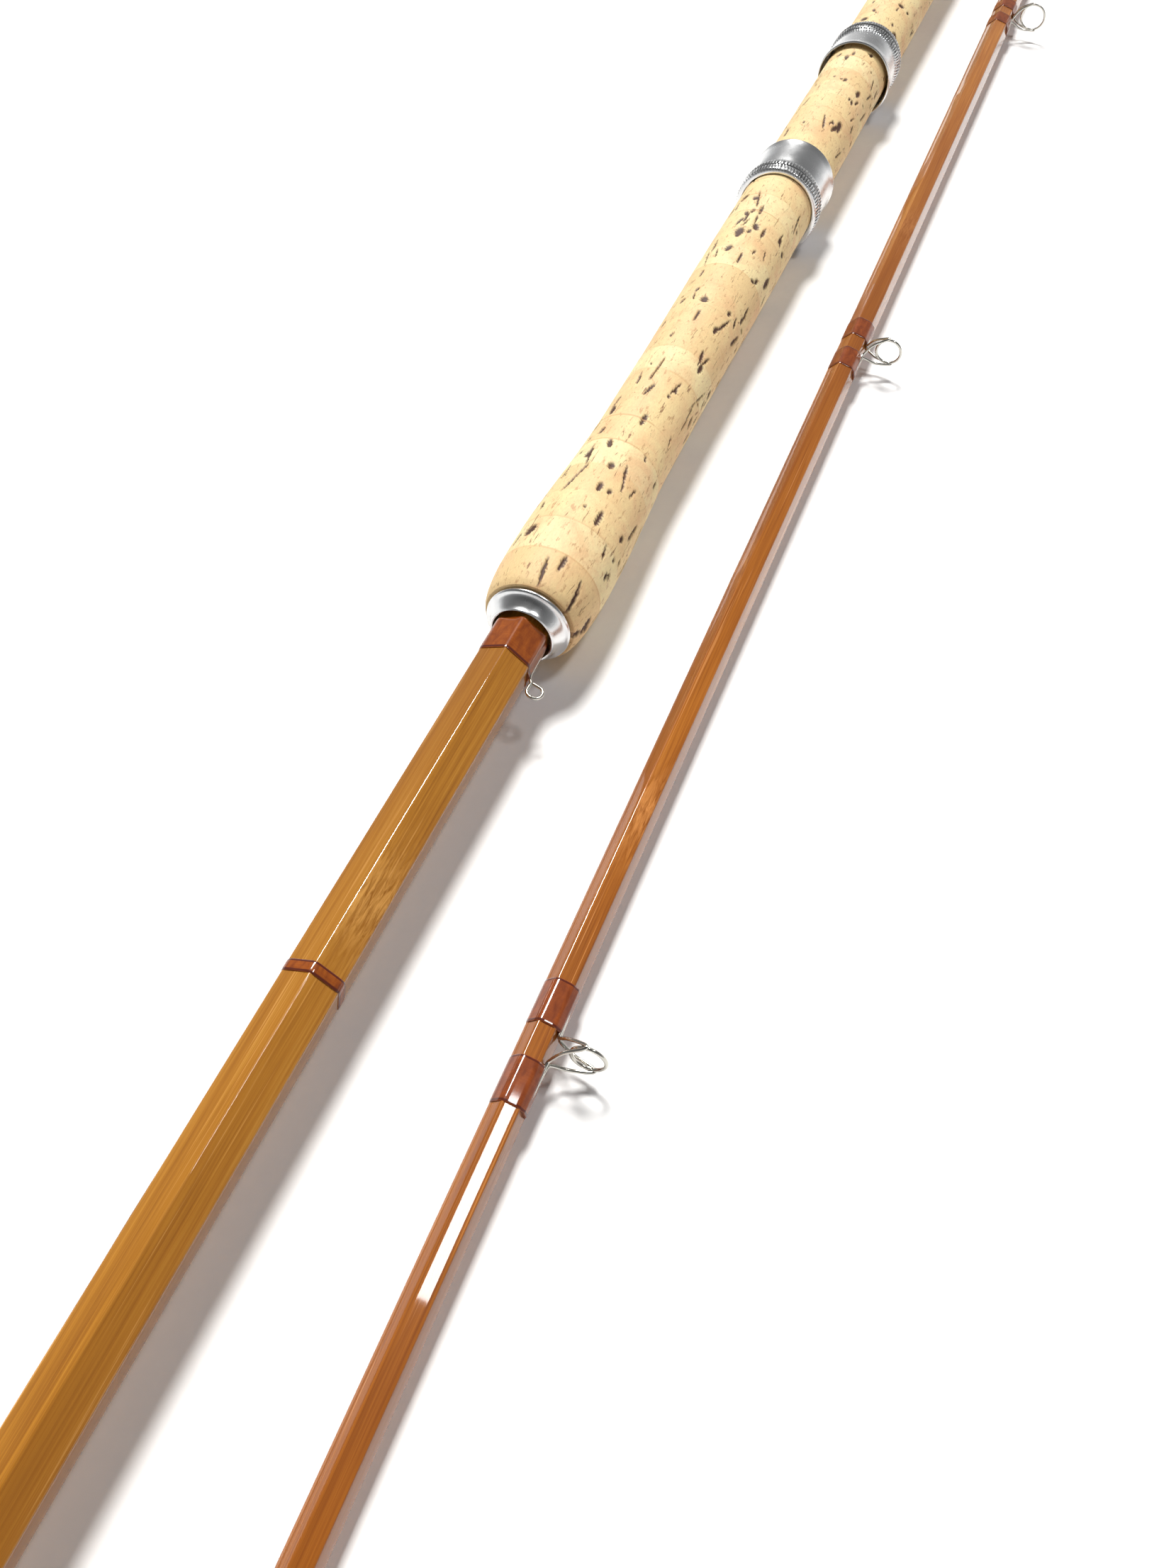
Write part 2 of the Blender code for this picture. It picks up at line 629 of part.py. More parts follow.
def tip_ring(steel, silk, parent):
    """The end ring: a hoop braced on a tube that slips over the tip, with a whipping behind it."""
    cane = top_flat(SECTION_LENGTH - TIP_TUBE_LENGTH) / 2 * CORNER
    bore = cane + SILK_GAP
    tube_radius = bore + TIP_TUBE_WALL
    tube_start = SECTION_LENGTH - TIP_TUBE_LENGTH
    centre = tube_radius + TIP_HOOP / 2 - HOOP_WIRE * 0.3
    pieces = [hoop("tip_ring", TIP_HOOP, (TIP_HOOP_REACH, 0, centre))]
    for sign, hand in ((1, "left"), (-1, "right")):
        points = [
            (-TIP_STAY_START, sign * tube_radius * 0.55, tube_radius * 0.75),
            (TIP_TUBE_PAST_CANE - FIT_GAP, sign * tube_radius * 0.9, tube_radius * 0.95),
            (TIP_HOOP_REACH, sign * (TIP_HOOP / 2 - HOOP_WIRE * 0.2), centre),
        ]
        pieces.append(wire(f"tip_ring_{hand}_stay", points, FRAME_WIRE))
    tube_ends = [(-TIP_TUBE_LENGTH, 0, 0), (TIP_TUBE_PAST_CANE, 0, 0)]
    pieces.append(wire("tip_ring_tube", tube_ends, 2 * tube_radius))
    ring = joined("tip_ring", pieces, facet_frame(SECTION_LENGTH, TOP_FACET), steel, parent)
    drill_length = TIP_TUBE_LENGTH + TIP_STAY_START
    bpy.ops.mesh.primitive_cylinder_add(vertices=12, radius=bore, depth=drill_length)
    drill = bpy.context.object
    drill.name = "tip_tube_bore"
    for collection in list(drill.users_collection):
        collection.objects.unlink(drill)
    bpy.data.collections[GUIDES].objects.link(drill)
    drill.data.transform(Matrix.Rotation(math.pi / 2, 4, "Y"))
    drill.hide_render = True
    drill.display_type = "WIRE"
    drill.parent = parent
    drill.location = (SECTION_LENGTH + FIT_GAP - drill_length / 2, 0, 0)
    cut = ring.modifiers.new("bore", "BOOLEAN")
    cut.operation = "DIFFERENCE"
    cut.solver = "MANIFOLD"
    cut.object = drill
    start = tube_start - FIT_GAP - TIP_WHIPPING_LENGTH
    whipping("tip_whipping", TOP_FACET, start, TIP_WHIPPING_LENGTH, top_flat(start), silk, parent)


def section_empty(name, place, drop):
    """The section's own frame: its local X is the section's axis, and it drops towards the tip."""
    empty = bpy.data.objects.new(name, None)
    empty.empty_display_size = 0.05
    empty.location = place
    empty.rotation_euler = Euler((0, drop, 0))
    bpy.data.collections[COLLECTION].objects.link(empty)
    return empty


def butt_lie():
    """(height of the axis at x = 0, drop): the section lies on its swell and on its last ring."""
    swell_x = GRIP_LENGTH - SWELL_PEAK
    ring_x, outside = butt_ring_places()[-1]
    ring_flat = butt_flat(ring_x - RING_WINDOW / 2 - RING_WHIPPING_LENGTH)
    centre = ring_flat / 2 + HOOP_CLEAR + outside / 2
    ring_height = outside / 2 - centre * math.cos(BUTT_FACET)
    drop = math.asin((SWELL_RADIUS - ring_height) / (ring_x - swell_x))
    return SWELL_RADIUS + swell_x * math.sin(drop), drop


def top_lie():
    """(height of the axis at x = 0, drop): the section lies on its ferrule whipping and its tip."""
    rear_x = PLUG_LENGTH + FERRULE_ON_CANE - FERRULE_WHIPPING_LAP / 2
    rear = FERRULE_RADIUS + SILK_GAP + SILK
    front_x = SECTION_LENGTH - TIP_TUBE_LENGTH - TIP_WHIPPING_LENGTH / 2
    front = (top_flat(front_x) / 2 + SILK_GAP + SILK) * CORNER + 0.0003
    drop = math.asin((rear - front) / (front_x - rear_x))
    return rear + rear_x * math.sin(drop), drop


def stations(start, end, count, extra=()):
    """Evenly spaced places along a strip, with any that its taper needs."""
    places = [start + (end - start) * step / count for step in range(count + 1)]
    return sorted(set(places) | set(extra))


def centre_on_footprint(roots):
    """Moves the sections so that the world origin is the middle of their footprint on the table."""
    bpy.context.view_layer.update()
    graph = bpy.context.evaluated_depsgraph_get()
    corners = []
    for obj in bpy.data.collections[COLLECTION].objects:
        if obj.type != "EMPTY":
            evaluated = obj.evaluated_get(graph)
            corners += [evaluated.matrix_world @ vertex.co for vertex in evaluated.to_mesh().vertices]
            evaluated.to_mesh_clear()
    low = [min(corner[axis] for corner in corners) for axis in range(3)]
    high = [max(corner[axis] for corner in corners) for axis in range(3)]
    for root in roots:
        root.location.x -= (low[0] + high[0]) / 2
        root.location.y -= (low[1] + high[1]) / 2
        root.location.z -= low[2]
    bpy.context.view_layer.update()


def main():
    start_scene()
    cork = principled("cork", (0.78, 0.58, 0.36), 0.0, 0.75)
    cane = principled("varnished_cane", (0.62, 0.30, 0.07), 0.0, 0.25, coat=1.0)
    silk = principled("varnished_silk", (0.33, 0.08, 0.03), 0.0, 0.25, coat=1.0)
    alloy = principled("polished_alloy", (0.82, 0.83, 0.85), 1.0, 0.22)
    nickel = principled("nickel_silver", (0.66, 0.62, 0.55), 1.0, 0.25)
    steel = principled("ring_steel", (0.55, 0.54, 0.50), 1.0, 0.2)
    rubber = principled("black_rubber", (0.02, 0.02, 0.02), 0.0, 0.7)

    butt_height, butt_drop = butt_lie()
    top_height, top_drop = top_lie()
    butt = section_empty("butt_section", (0, 0, butt_height), butt_drop)
    top = section_empty("top_section", (-TOP_SECTION_SETBACK, SECTION_SPACING, top_height), top_drop)

    swell = (GRIP_LENGTH, GRIP_LENGTH + BUTT_SWELL_LENGTH)
    butt_stations = stations(BUTTON_LENGTH + CANE_IN_BUTTON, butt_cane_end(), 6, swell)
    cane_strips("butt_cane_strip", BUTT_FACET, butt_stations, butt_flat, cane, butt)
    top_stations = stations(PLUG_LENGTH + 2 * FIT_GAP, SECTION_LENGTH, 6)
    cane_strips("top_cane_strip", TOP_FACET, top_stations, top_flat, cane, top)

    butt_fittings(rubber, alloy, butt)
    cork_grip(cork, butt)
    winding_check(alloy, butt)
    reel_band("rear_reel_band", GRIP_LENGTH - REAR_BAND_FROM_CHECK, False, alloy, butt)
    reel_band("front_reel_band", GRIP_LENGTH - FRONT_BAND_FROM_CHECK, True, alloy, butt)

    grip_start = GRIP_LENGTH + CHECK_LENGTH + FIT_GAP
    flat = butt_flat(GRIP_LENGTH)
    whipping("grip_whipping", BUTT_FACET, grip_start, GRIP_WHIPPING_LENGTH, flat, silk, butt, over_foot=True)
    mark_start = GRIP_LENGTH + MARK_WHIPPING_FROM_CHECK - MARK_WHIPPING_LENGTH / 2
    whipping("mark_whipping", BUTT_FACET, mark_start, MARK_WHIPPING_LENGTH, butt_flat(mark_start), silk, butt)
    keeper_ring(steel, butt)

    for number, (x, outside) in enumerate(butt_ring_places(), 1):
        ring_set(f"butt_ring_{number}", x, BUTT_FACET, butt_flat, outside, steel, silk, butt)
    for number, (x, outside) in enumerate(top_ring_places(), 1):
        ring_set(f"top_ring_{number}", x, TOP_FACET, top_flat, outside, steel, silk, top)
    ferrules(nickel, silk, butt, top)
    tip_ring(steel, silk, top)
    centre_on_footprint((butt, top))


main()
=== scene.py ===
"""The looks of a two-piece split-cane coarse rod: cork, varnished cane and silk, alloy and wire.

Lengths are metres. Each section has its own frame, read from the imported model: its local X is the
section's axis, x = 0 is its rear end, and angles round it start from straight up, towards +Y.
"""

import json
import math

import bmesh
import bpy
import numpy as np
from mathutils import Matrix, Vector

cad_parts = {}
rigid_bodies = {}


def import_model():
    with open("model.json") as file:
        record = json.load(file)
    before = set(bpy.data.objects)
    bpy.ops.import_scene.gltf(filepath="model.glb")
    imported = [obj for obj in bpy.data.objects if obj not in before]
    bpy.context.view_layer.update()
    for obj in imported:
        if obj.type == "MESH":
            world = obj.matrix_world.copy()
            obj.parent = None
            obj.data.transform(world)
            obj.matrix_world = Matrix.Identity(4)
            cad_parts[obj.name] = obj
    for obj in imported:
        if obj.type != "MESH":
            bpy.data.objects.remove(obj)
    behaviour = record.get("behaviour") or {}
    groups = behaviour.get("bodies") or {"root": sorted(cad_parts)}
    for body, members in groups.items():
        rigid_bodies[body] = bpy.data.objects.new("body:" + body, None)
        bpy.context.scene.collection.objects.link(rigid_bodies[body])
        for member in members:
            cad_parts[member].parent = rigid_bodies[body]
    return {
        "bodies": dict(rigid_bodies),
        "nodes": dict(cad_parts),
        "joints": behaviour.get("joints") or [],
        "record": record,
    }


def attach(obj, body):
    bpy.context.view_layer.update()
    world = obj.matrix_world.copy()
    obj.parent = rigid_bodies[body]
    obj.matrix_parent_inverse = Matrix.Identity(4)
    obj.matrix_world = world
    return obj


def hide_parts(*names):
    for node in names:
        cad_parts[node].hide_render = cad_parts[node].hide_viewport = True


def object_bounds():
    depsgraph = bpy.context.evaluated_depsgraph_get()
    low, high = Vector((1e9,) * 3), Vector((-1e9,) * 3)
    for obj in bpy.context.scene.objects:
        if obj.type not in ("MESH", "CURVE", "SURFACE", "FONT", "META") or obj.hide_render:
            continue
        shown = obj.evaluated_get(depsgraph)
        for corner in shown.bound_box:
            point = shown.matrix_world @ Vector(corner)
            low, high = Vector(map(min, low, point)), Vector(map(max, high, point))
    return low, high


SIDES = 6
FULL_TURN = 2 * math.pi
TO_CORNER = math.pi / SIDES  # from the middle of a facet to its corner
SEED = 7

# Camera, from the middle of the winding check's rim
CAMERA_OFFSET = (0.2285, 0.1004, 0.2203)
CAMERA_LOOK = (-0.6235, -0.2320, -0.7466)
CAMERA_LENS = 30.94
CAMERA_SENSOR = 36.0

# Lights. The lamp's places are from the middle of the winding check's rim.
SKY = ((0.0, 1.05), (0.25, 0.3), (1.0, 0.03))  # height of a direction, brightness
SKY_STRENGTH = 0.8
KEY_FROM = (-0.85, -0.38, 1.30)
KEY_ANGLE = math.radians(15)
KEY_STRENGTH = 3.9
KEY_COLOUR = (1.0, 0.985, 0.96)
LAMP_PLACE = (-0.324, 0.493, 1.125)
LAMP_TARGET = (0.14, 0.0435, 0.0)
LAMP_SIZE = (0.24, 0.19)
LAMP_POWER = 3.4
FLOOR_SIZE = 12

# Cork
CORK_RING = 0.0126
CORK_STEP_X = 0.0005
CORK_STEPS_ROUND = 204
CORK_SKIN = 0.00004  # how far the cork lies inside its solid
CORK_LEAST_RADIUS = 0.0095  # the grip's outer corners are farther out than this, and its bore isn't
CORK_SHAPED = 0.2  # length at the front whose outline is smoothed
CORK_FRONT_EDGE = 0.004  # length at the very front that keeps its outline
CORK_SMOOTHING = 13  # stations
CORK_BORE_GAP = 0.0002
RIPPLE_DEPTH = 0.00003
SEAM_DEPTH = 0.00004
SEAM_REACH = 0.0004
PITS = 700
PIT_DEPTH = 0.00042
PIT_HALF_LENGTH = (0.0013, 0.0026)  # the least, and the most that chance adds
PIT_HALF_WIDTH = (0.00040, 0.00045)
PIT_SHAPES = (  # least draw, times longer, times wider: hollows, cracks, slots and pores
    (0.86, 1.2, 1.9),
    (0.62, 1.7, 0.6),
    (0.25, 1.0, 1.0),
    (0.00, 0.4, 0.9),
)

# Cane
CANE_EDGE = 0.0003
CANE_STEP = 0.006
FLAT_STATIONS = 60
KNOT_SPACING = 0.31
KNOT_RISE = 0.00006
KNOT_RISE_REACH = 0.006
KNOT_MOTTLE_REACH = 0.011
BUTT_KNOT_SHIFT = 0.035
DARKER_WAVE = 12.57  # radians a metre
DARKER_START = -1.77
DARKER_STEP = 2.1  # from one strip to the next

# Silk
THREAD_PITCH = 0.00022
THREAD_RELIEF = 0.00002
SILK_GAP = 0.00008
SILK_THICKNESS = 0.00018
SILK_OVERLAP = 0.00004  # how far a winding's inside lies below its first size
LEAST_SILK_STEPS = 24  # two to a turn
SILK_CORNERS = (0.0011, 0.0008)  # how far a winding's outer and inner corners are rounded
THIN_CANE = 0.003  # half flat of the cane under which the corners shrink with it
THIN_CORNERS = (0.3, 0.25)  # in half flats
FACET_STEPS = 10
FERRULE_SILK_STEPS = 96
RING_FOOT = (0.0009, 0.0005)  # half width and height of a wire foot under the silk
RING_TRIMS = ((0.0004, 0.0005), (-0.0004, 0.0005))  # place from an end, width of a dark turn
GRIP_TRIMS = ((-0.0005, 0.0007),)
MARK_TRIMS = ((0.0003, 0.0005), (-0.0003, 0.0005))

# Metal
UNDER_VARNISH = 0.08  # specular level of what the varnish covers
LATHE_STEPS = 160
KNURL_TEETH = 84
KNURL_STEPS = KNURL_TEETH * 6
KNURL_DEPTH = 0.0003
# how much painted shade the band's groove gets, as a share of the valley colour
GROOVE_SHADE = 0.7
WIRE_STEPS = 12
HOOP_STEPS = 48
RING_WIRE = 0.00042
RING_WIRE_STATIONS = 61
RING_WINDOW = 0.0039  # from the hoop to the whippings on either side
KEEPER_APEX = 0.0086  # where the keeper's loop crosses, from its rear end
KEEPER_LEAN = math.radians(38)
KEEPER_LOOP_RADIUS = 0.0019
KEEPER_LOOP_REACH = 0.003  # from the crossing to the middle of the round end
KEEPER_LOOP_STATIONS = 60
KEEPER_STEM_STATIONS = 24


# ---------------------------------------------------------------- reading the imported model


def vertices_of(nodes, *names):
    """All vertices of the named nodes, as an array."""
    return np.array([vertex.co for name in names for vertex in nodes[name].data.vertices])


def end_centre(points, last):
    """The middle of the points at one end of a piece, along X."""
    edge = points[:, 0].max() if last else points[:, 0].min()
    near = points[np.abs(points[:, 0] - edge) < 0.0004]
    return Vector((near.min(axis=0) + near.max(axis=0)) / 2)


class Section:
    """One section of the rod: the frame of its axis, its body, and where its nodes lie along it."""

    def __init__(self, body, nodes, rear_node, cane_prefix):
        self.body = body
        self.nodes = nodes
        self.strips = [f"{cane_prefix}_{number}" for number in range(1, SIDES + 1)]
        self.origin = end_centre(vertices_of(nodes, rear_node), False)
        cane_end = end_centre(vertices_of(nodes, *self.strips), True)
        self.axis = (cane_end - self.origin).normalized()
        drop = math.asin(-self.axis.z)
        self.matrix = Matrix.Translation(self.origin) @ Matrix.Rotation(drop, 4, "Y")
        self.inverse = self.matrix.inverted()
        self.flat_places = np.linspace(*self.span(*self.strips), FLAT_STATIONS)
        self.flat_sizes = [self.half_flat(place) for place in self.flat_places]

    def local(self, *names):
        """The named nodes' vertices in the section's own frame."""
        points = vertices_of(self.nodes, *names)
        turn = np.array(self.inverse.to_3x3())
        return points @ turn.T + np.array(self.inverse.translation)

    def span(self, *names):
        """Where the named nodes start and end along the axis."""
        along = self.local(*names)[:, 0]
        return float(along.min()), float(along.max())

    def reach(self, *names):
        """The named nodes' largest radius."""
        points = self.local(*names)
        return float(np.hypot(points[:, 1], points[:, 2]).max())

    def facet(self, node):
        """The angle that a piece stands out at: the middle of its farthest points."""
        points = np.unique(np.round(self.local(node), 5), axis=0)
        radius = np.hypot(points[:, 1], points[:, 2])
        far = points[radius > 0.93 * radius.max()]
        return math.atan2(far[:, 1].mean(), far[:, 2].mean())

    def half_flat(self, x):
        """Half the size across the flats of the cane at x, from its strips' corners."""
        points = self.local(*self.strips)
        radius = np.hypot(points[:, 1], points[:, 2])
        outer = radius > 0.001
        order = np.argsort(points[outer, 0])
        corner = np.interp(x, points[outer, 0][order], radius[outer][order])
        return float(corner) * math.cos(TO_CORNER)

    def flat(self, x):
        """half_flat from the stations that were read once."""
        return float(np.interp(x, self.flat_places, self.flat_sizes))

    def outline(self, node):
        """A node's turned outline, as (x, largest radius, smallest radius) at each station."""
        points = self.local(node)
        radius = np.hypot(points[:, 1], points[:, 2])
        rows = []
        for x in np.unique(np.round(points[:, 0], 5)):
            near = np.abs(points[:, 0] - x) < 0.00003
            rows.append((float(x), float(radius[near].max()), float(radius[near].min())))
        return rows


# ---------------------------------------------------------------- building pieces


def piece(name, section, points, faces, material, sharp=35.0, body=None):
    """A mesh object in a section's frame, shaded smooth, riding on the section's body."""
    mesh = bpy.data.meshes.new(name)
    mesh.from_pydata([tuple(point) for point in points], [], faces)
    mesh.update()
    obj = bpy.data.objects.new(name, mesh)
    bpy.context.scene.collection.objects.link(obj)
    obj.matrix_world = section.matrix
    mesh.shade_smooth()
    mesh.set_sharp_from_angle(angle=math.radians(sharp))
    mesh.materials.append(material)
    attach(obj, body or section.body)
    return obj


def finish_piece(obj, node):
    """Turns a piece's faces outwards, and lets it stand for a node."""
    work = bmesh.new()
    work.from_mesh(obj.data)
    bmesh.ops.recalc_face_normals(work, faces=work.faces)
    work.to_mesh(obj.data)
    work.free()
    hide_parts(node)


def set_attribute(obj, name, values):
    """A number for each vertex, which a material reads by name."""
    layer = obj.data.attributes.new(name, "FLOAT", "POINT")
    layer.data.foreach_set("value", np.asarray(values, np.float32))


def grid_faces(rows, columns, closed_rows=False):
    """Quads between rows of points, each row closed round on itself."""
    faces = []
    for row in range(rows if closed_rows else rows - 1):
        here, there = row * columns, (row + 1) % rows * columns
        for column in range(columns):
            after = (column + 1) % columns
            faces.append((here + column, there + column, there + after, here + after))
    return faces


def angles_round(steps):
    """Even angles round a full turn."""
    return np.arange(steps) * 2 * math.pi / steps


def turned(name, section, outline, material, wave=None, steps=LATHE_STEPS, sharp=35.0, body=None):
    """A turned piece: (x, radius) pairs up the outside and back down the inside, as a closed loop.

    wave(index, angles) adds to a row's radii, such as knurling.
    """
    angles = angles_round(steps)
    points = []
    for index, (x, radius) in enumerate(outline):
        radii = np.full(steps, radius)
        if wave:
            radii = radii + wave(index, angles)
        points += [(x, r * math.sin(a), r * math.cos(a)) for r, a in zip(radii, angles)]
    faces = grid_faces(len(outline), steps, closed_rows=True)
    return piece(name, section, points, faces, material, sharp, body)


def tube(path, radii, frame, closed=False):
    """Points and faces of a round wire through the path's points, with a radius at each."""
    count = len(path)
    points = []
    for index, centre in enumerate(path):
        if closed:
            ahead, behind = path[(index + 1) % count], path[index - 1]
        else:
            ahead, behind = path[min(index + 1, count - 1)], path[max(index - 1, 0)]
        along = (ahead - behind).normalized()
        side = along.cross(Vector((0, 0, 1)))
        if side.length < 0.05:
            side = along.cross(Vector((1, 0, 0)))
        side.normalize()
        up = side.cross(along)
        for step in range(WIRE_STEPS):
            angle = step * FULL_TURN / WIRE_STEPS
            offset = side * math.cos(angle) + up * math.sin(angle)
            points.append(frame @ (centre + offset * radii[index]))
    faces = grid_faces(count, WIRE_STEPS, closed_rows=closed)
    if not closed:
        faces.append(tuple(range(WIRE_STEPS)))
        faces.append(tuple(range((count - 1) * WIRE_STEPS, count * WIRE_STEPS))[::-1])
    return points, faces


def joined(parts):
    """One list of points and faces from several."""
    points, faces = [], []
    for more, their_faces in parts:
        start = len(points)
        points += list(more)
        faces += [tuple(index + start for index in face) for face in their_faces]
    return points, faces


def curve_through(points, count):
    """Evenly numbered points on a smooth curve through a few points (Catmull-Rom)."""
    points = [Vector(point) for point in points]
    ends = [points[0] * 2 - points[1]] + points + [points[-1] * 2 - points[-2]]
    made = []
    spans = len(points) - 1
    for step in range(count):
        place = step * spans / (count - 1)
        span = min(int(place), spans - 1)
        t = place - span
        a, b, c, d = ends[span : span + 4]
        bend = a * 2 - b * 5 + c * 4 - d
        twist = b * 3 - a - c * 3 + d
        made.append((b * 2 + (c - a) * t + bend * t**2 + twist * t**3) / 2)
    return made


# ---------------------------------------------------------------- materials


class Nodes:
    """A material's node tree, with short calls for the nodes that the materials share."""

    def __init__(self, name, roughness, metallic=0.0, coat=0.0, coat_roughness=0.03):
        self.material = bpy.data.materials.new(name)
        self.material.use_nodes = True
        self.tree = self.material.node_tree
        self.shader = self.tree.nodes["Principled BSDF"]
        self.shader.inputs["Roughness"].default_value = roughness
        self.shader.inputs["Metallic"].default_value = metallic
        self.shader.inputs["Coat Weight"].default_value = coat
        self.shader.inputs["Coat Roughness"].default_value = coat_roughness
        if coat:
            self.shader.inputs["Specular IOR Level"].default_value = UNDER_VARNISH
        self.place = self.add("ShaderNodeTexCoord").outputs["Object"]

    def add(self, kind, **settings):
        """A new node with the given settings."""
        node = self.tree.nodes.new(kind)
        for key, value in settings.items():
            setattr(node, key, value)
        return node

    def join(self, source, target):
        """A link from an output to an input."""
        self.tree.links.new(source, target)

    def put(self, value, target):
        """Links an output to an input, or sets the input to a number or a colour."""
        if isinstance(value, tuple):
            target.default_value = (*value, 1)
        elif isinstance(value, float):
            target.default_value = value
        else:
            self.join(value, target)

    def noise(self, scale, detail=4.0, roughness=0.6, distortion=0.0):
        """Noise that is stretched by a scale along each axis of the piece."""
        mapping = self.add("ShaderNodeMapping")
        mapping.inputs["Scale"].default_value = scale
        self.join(self.place, mapping.inputs["Vector"])
        node = self.add("ShaderNodeTexNoise")
        node.inputs["Scale"].default_value = 1.0
        node.inputs["Detail"].default_value = detail
        node.inputs["Roughness"].default_value = roughness
        node.inputs["Distortion"].default_value = distortion
        self.join(mapping.outputs["Vector"], node.inputs["Vector"])
        return node.outputs["Fac"]

    def attribute(self, name):
        """A vertex's number that the mesh carries under a name."""
        return self.add("ShaderNodeAttribute", attribute_name=name).outputs["Fac"]

    def ramp(self, value, stops):
        """A ramp of (place, colour or grey) stops, read at the value."""
        node = self.add("ShaderNodeValToRGB")
        while len(node.color_ramp.elements) < len(stops):
            node.color_ramp.elements.new(0.5)
        for element, (place, colour) in zip(node.color_ramp.elements, stops):
            element.position = place
            shade = colour if isinstance(colour, tuple) else (colour, colour, colour)
            element.color = (*shade, 1)
        self.join(value, node.inputs["Fac"])
        return node.outputs["Color"]

    def mix(self, share, first, second):
        """The first colour with a share of the second."""
        node = self.add("ShaderNodeMix", data_type="RGBA")
        for value, socket in ((share, 0), (first, 6), (second, 7)):
            self.put(value, node.inputs[socket])
        return node.outputs[2]

    def spots(self, colour, pattern, low, high, share, tint):
        """A colour with a share of a tint where the pattern is over low, in full over high."""
        return self.mix(self.ramp(pattern, [(low, 0.0), (high, share)]), colour, tint)

    def maths(self, operation, *values):
        """An arithmetic node on outputs or numbers."""
        node = self.add("ShaderNodeMath", operation=operation)
        for value, socket in zip(values, node.inputs):
            self.put(value, socket)
        return node.outputs[0]

    def colour(self, value):
        """Gives the surface its colour."""
        self.join(value, self.shader.inputs["Base Color"])

    def bump(self, height, strength, distance):
        """Gives the surface a fine relief."""
        node = self.add("ShaderNodeBump")
        node.inputs["Strength"].default_value = strength
        node.inputs["Distance"].default_value = distance
        self.join(height, node.inputs["Height"])
        self.join(node.outputs["Normal"], self.shader.inputs["Normal"])


def cork_material():
    """Pale cork: each ring has its own tone, with fine grain, blushes, cracks and dark pits."""
    nodes = Nodes("natural_cork", 0.62)
    tones = [(0.0, (0.87, 0.63, 0.31)), (0.5, (0.93, 0.73, 0.37)), (1.0, (0.97, 0.82, 0.45))]
    colour = nodes.ramp(nodes.attribute("ring_tone"), tones)
    blush = nodes.noise((55, 90, 90), 5.0, 0.65, 0.6)
    colour = nodes.spots(colour, blush, 0.46, 0.66, 0.7, (0.84, 0.50, 0.25))
    grain = nodes.noise((900, 2600, 2600), 4.0, 0.7)
    colour = nodes.spots(colour, grain, 0.36, 0.7, 0.28, (0.50, 0.29, 0.14))
    fleck = nodes.noise((300, 900, 900), 3.0, 0.7, 0.4)
    colour = nodes.spots(colour, fleck, 0.58, 0.66, 0.65, (0.50, 0.25, 0.11))
    crack = nodes.noise((110, 1100, 1100), 4.0, 0.6, 0.7)
    colour = nodes.spots(colour, crack, 0.64, 0.68, 0.85, (0.26, 0.11, 0.045))
    colour = nodes.mix(nodes.attribute("pit"), colour, (0.075, 0.026, 0.011))
    colour = nodes.mix(nodes.attribute("seam"), colour, (0.62, 0.34, 0.14))
    nodes.colour(colour)
    nodes.bump(grain, 0.25, 0.0002)
    return nodes.material


def lighter(colour, times, more):
    """A paler colour, kept within white."""
    return tuple(min(1.0, channel * times + more) for channel in colour)


def cane_material(name, dark, middle, light):
    """Varnished bamboo: long fibres, a slow drift of tone, and a mottled patch at each knot."""
    nodes = Nodes(name, 0.34, coat=1.0)
    drift = nodes.noise((9, 130, 130), 3.0, 0.5)
    fibre = nodes.noise((26, 2300, 2300), 5.0, 0.62)
    fine = nodes.noise((60, 5200, 5200), 3.0, 0.6)
    pale = nodes.noise((16, 1500, 1500), 2.0, 0.5)
    tone = nodes.mix(0.5, drift, fibre)
    colour = nodes.ramp(tone, [(0.34, dark), (0.5, middle), (0.66, light)])
    colour = nodes.spots(colour, fine, 0.56, 0.72, 0.5, dark)
    colour = nodes.spots(colour, pale, 0.64, 0.7, 0.55, lighter(light, 1.3, 0.06))
    mottle = nodes.noise((170, 1300, 1300), 4.0, 0.6, 0.8)
    knot_colour = nodes.ramp(mottle, [(0.36, dark), (0.62, lighter(light, 1.25, 0.05))])
    colour = nodes.mix(nodes.maths("MULTIPLY", nodes.attribute("knot"), 0.75), colour, knot_colour)
    # Each strip is darkened towards the dark tone in a slow wave along it, read from the strip_tone
    # attribute
    darkened = nodes.maths("MULTIPLY", nodes.attribute("strip_tone"), 0.55)
    nodes.colour(nodes.mix(darkened, colour, dark))
    nodes.bump(fibre, 0.10, 0.0001)
    return nodes.material


def silk_material(name, dark, light):
    """Silk thread made half clear by varnish: fine turns, with the cane's warmth under them."""
    nodes = Nodes(name, 0.35, coat=1.0, coat_roughness=0.04)
    depth = nodes.noise((260, 700, 700), 4.0, 0.6, 0.5)
    turns = nodes.noise((4200, 260, 260), 2.0, 0.6)
    colour = nodes.ramp(depth, [(0.3, dark), (0.7, light)])
    colour = nodes.spots(colour, turns, 0.4, 0.7, 0.35, dark)
    nodes.colour(nodes.mix(nodes.attribute("trim"), colour, (0.10, 0.018, 0.008)))
    nodes.bump(turns, 0.12, 0.00008)
    return nodes.material


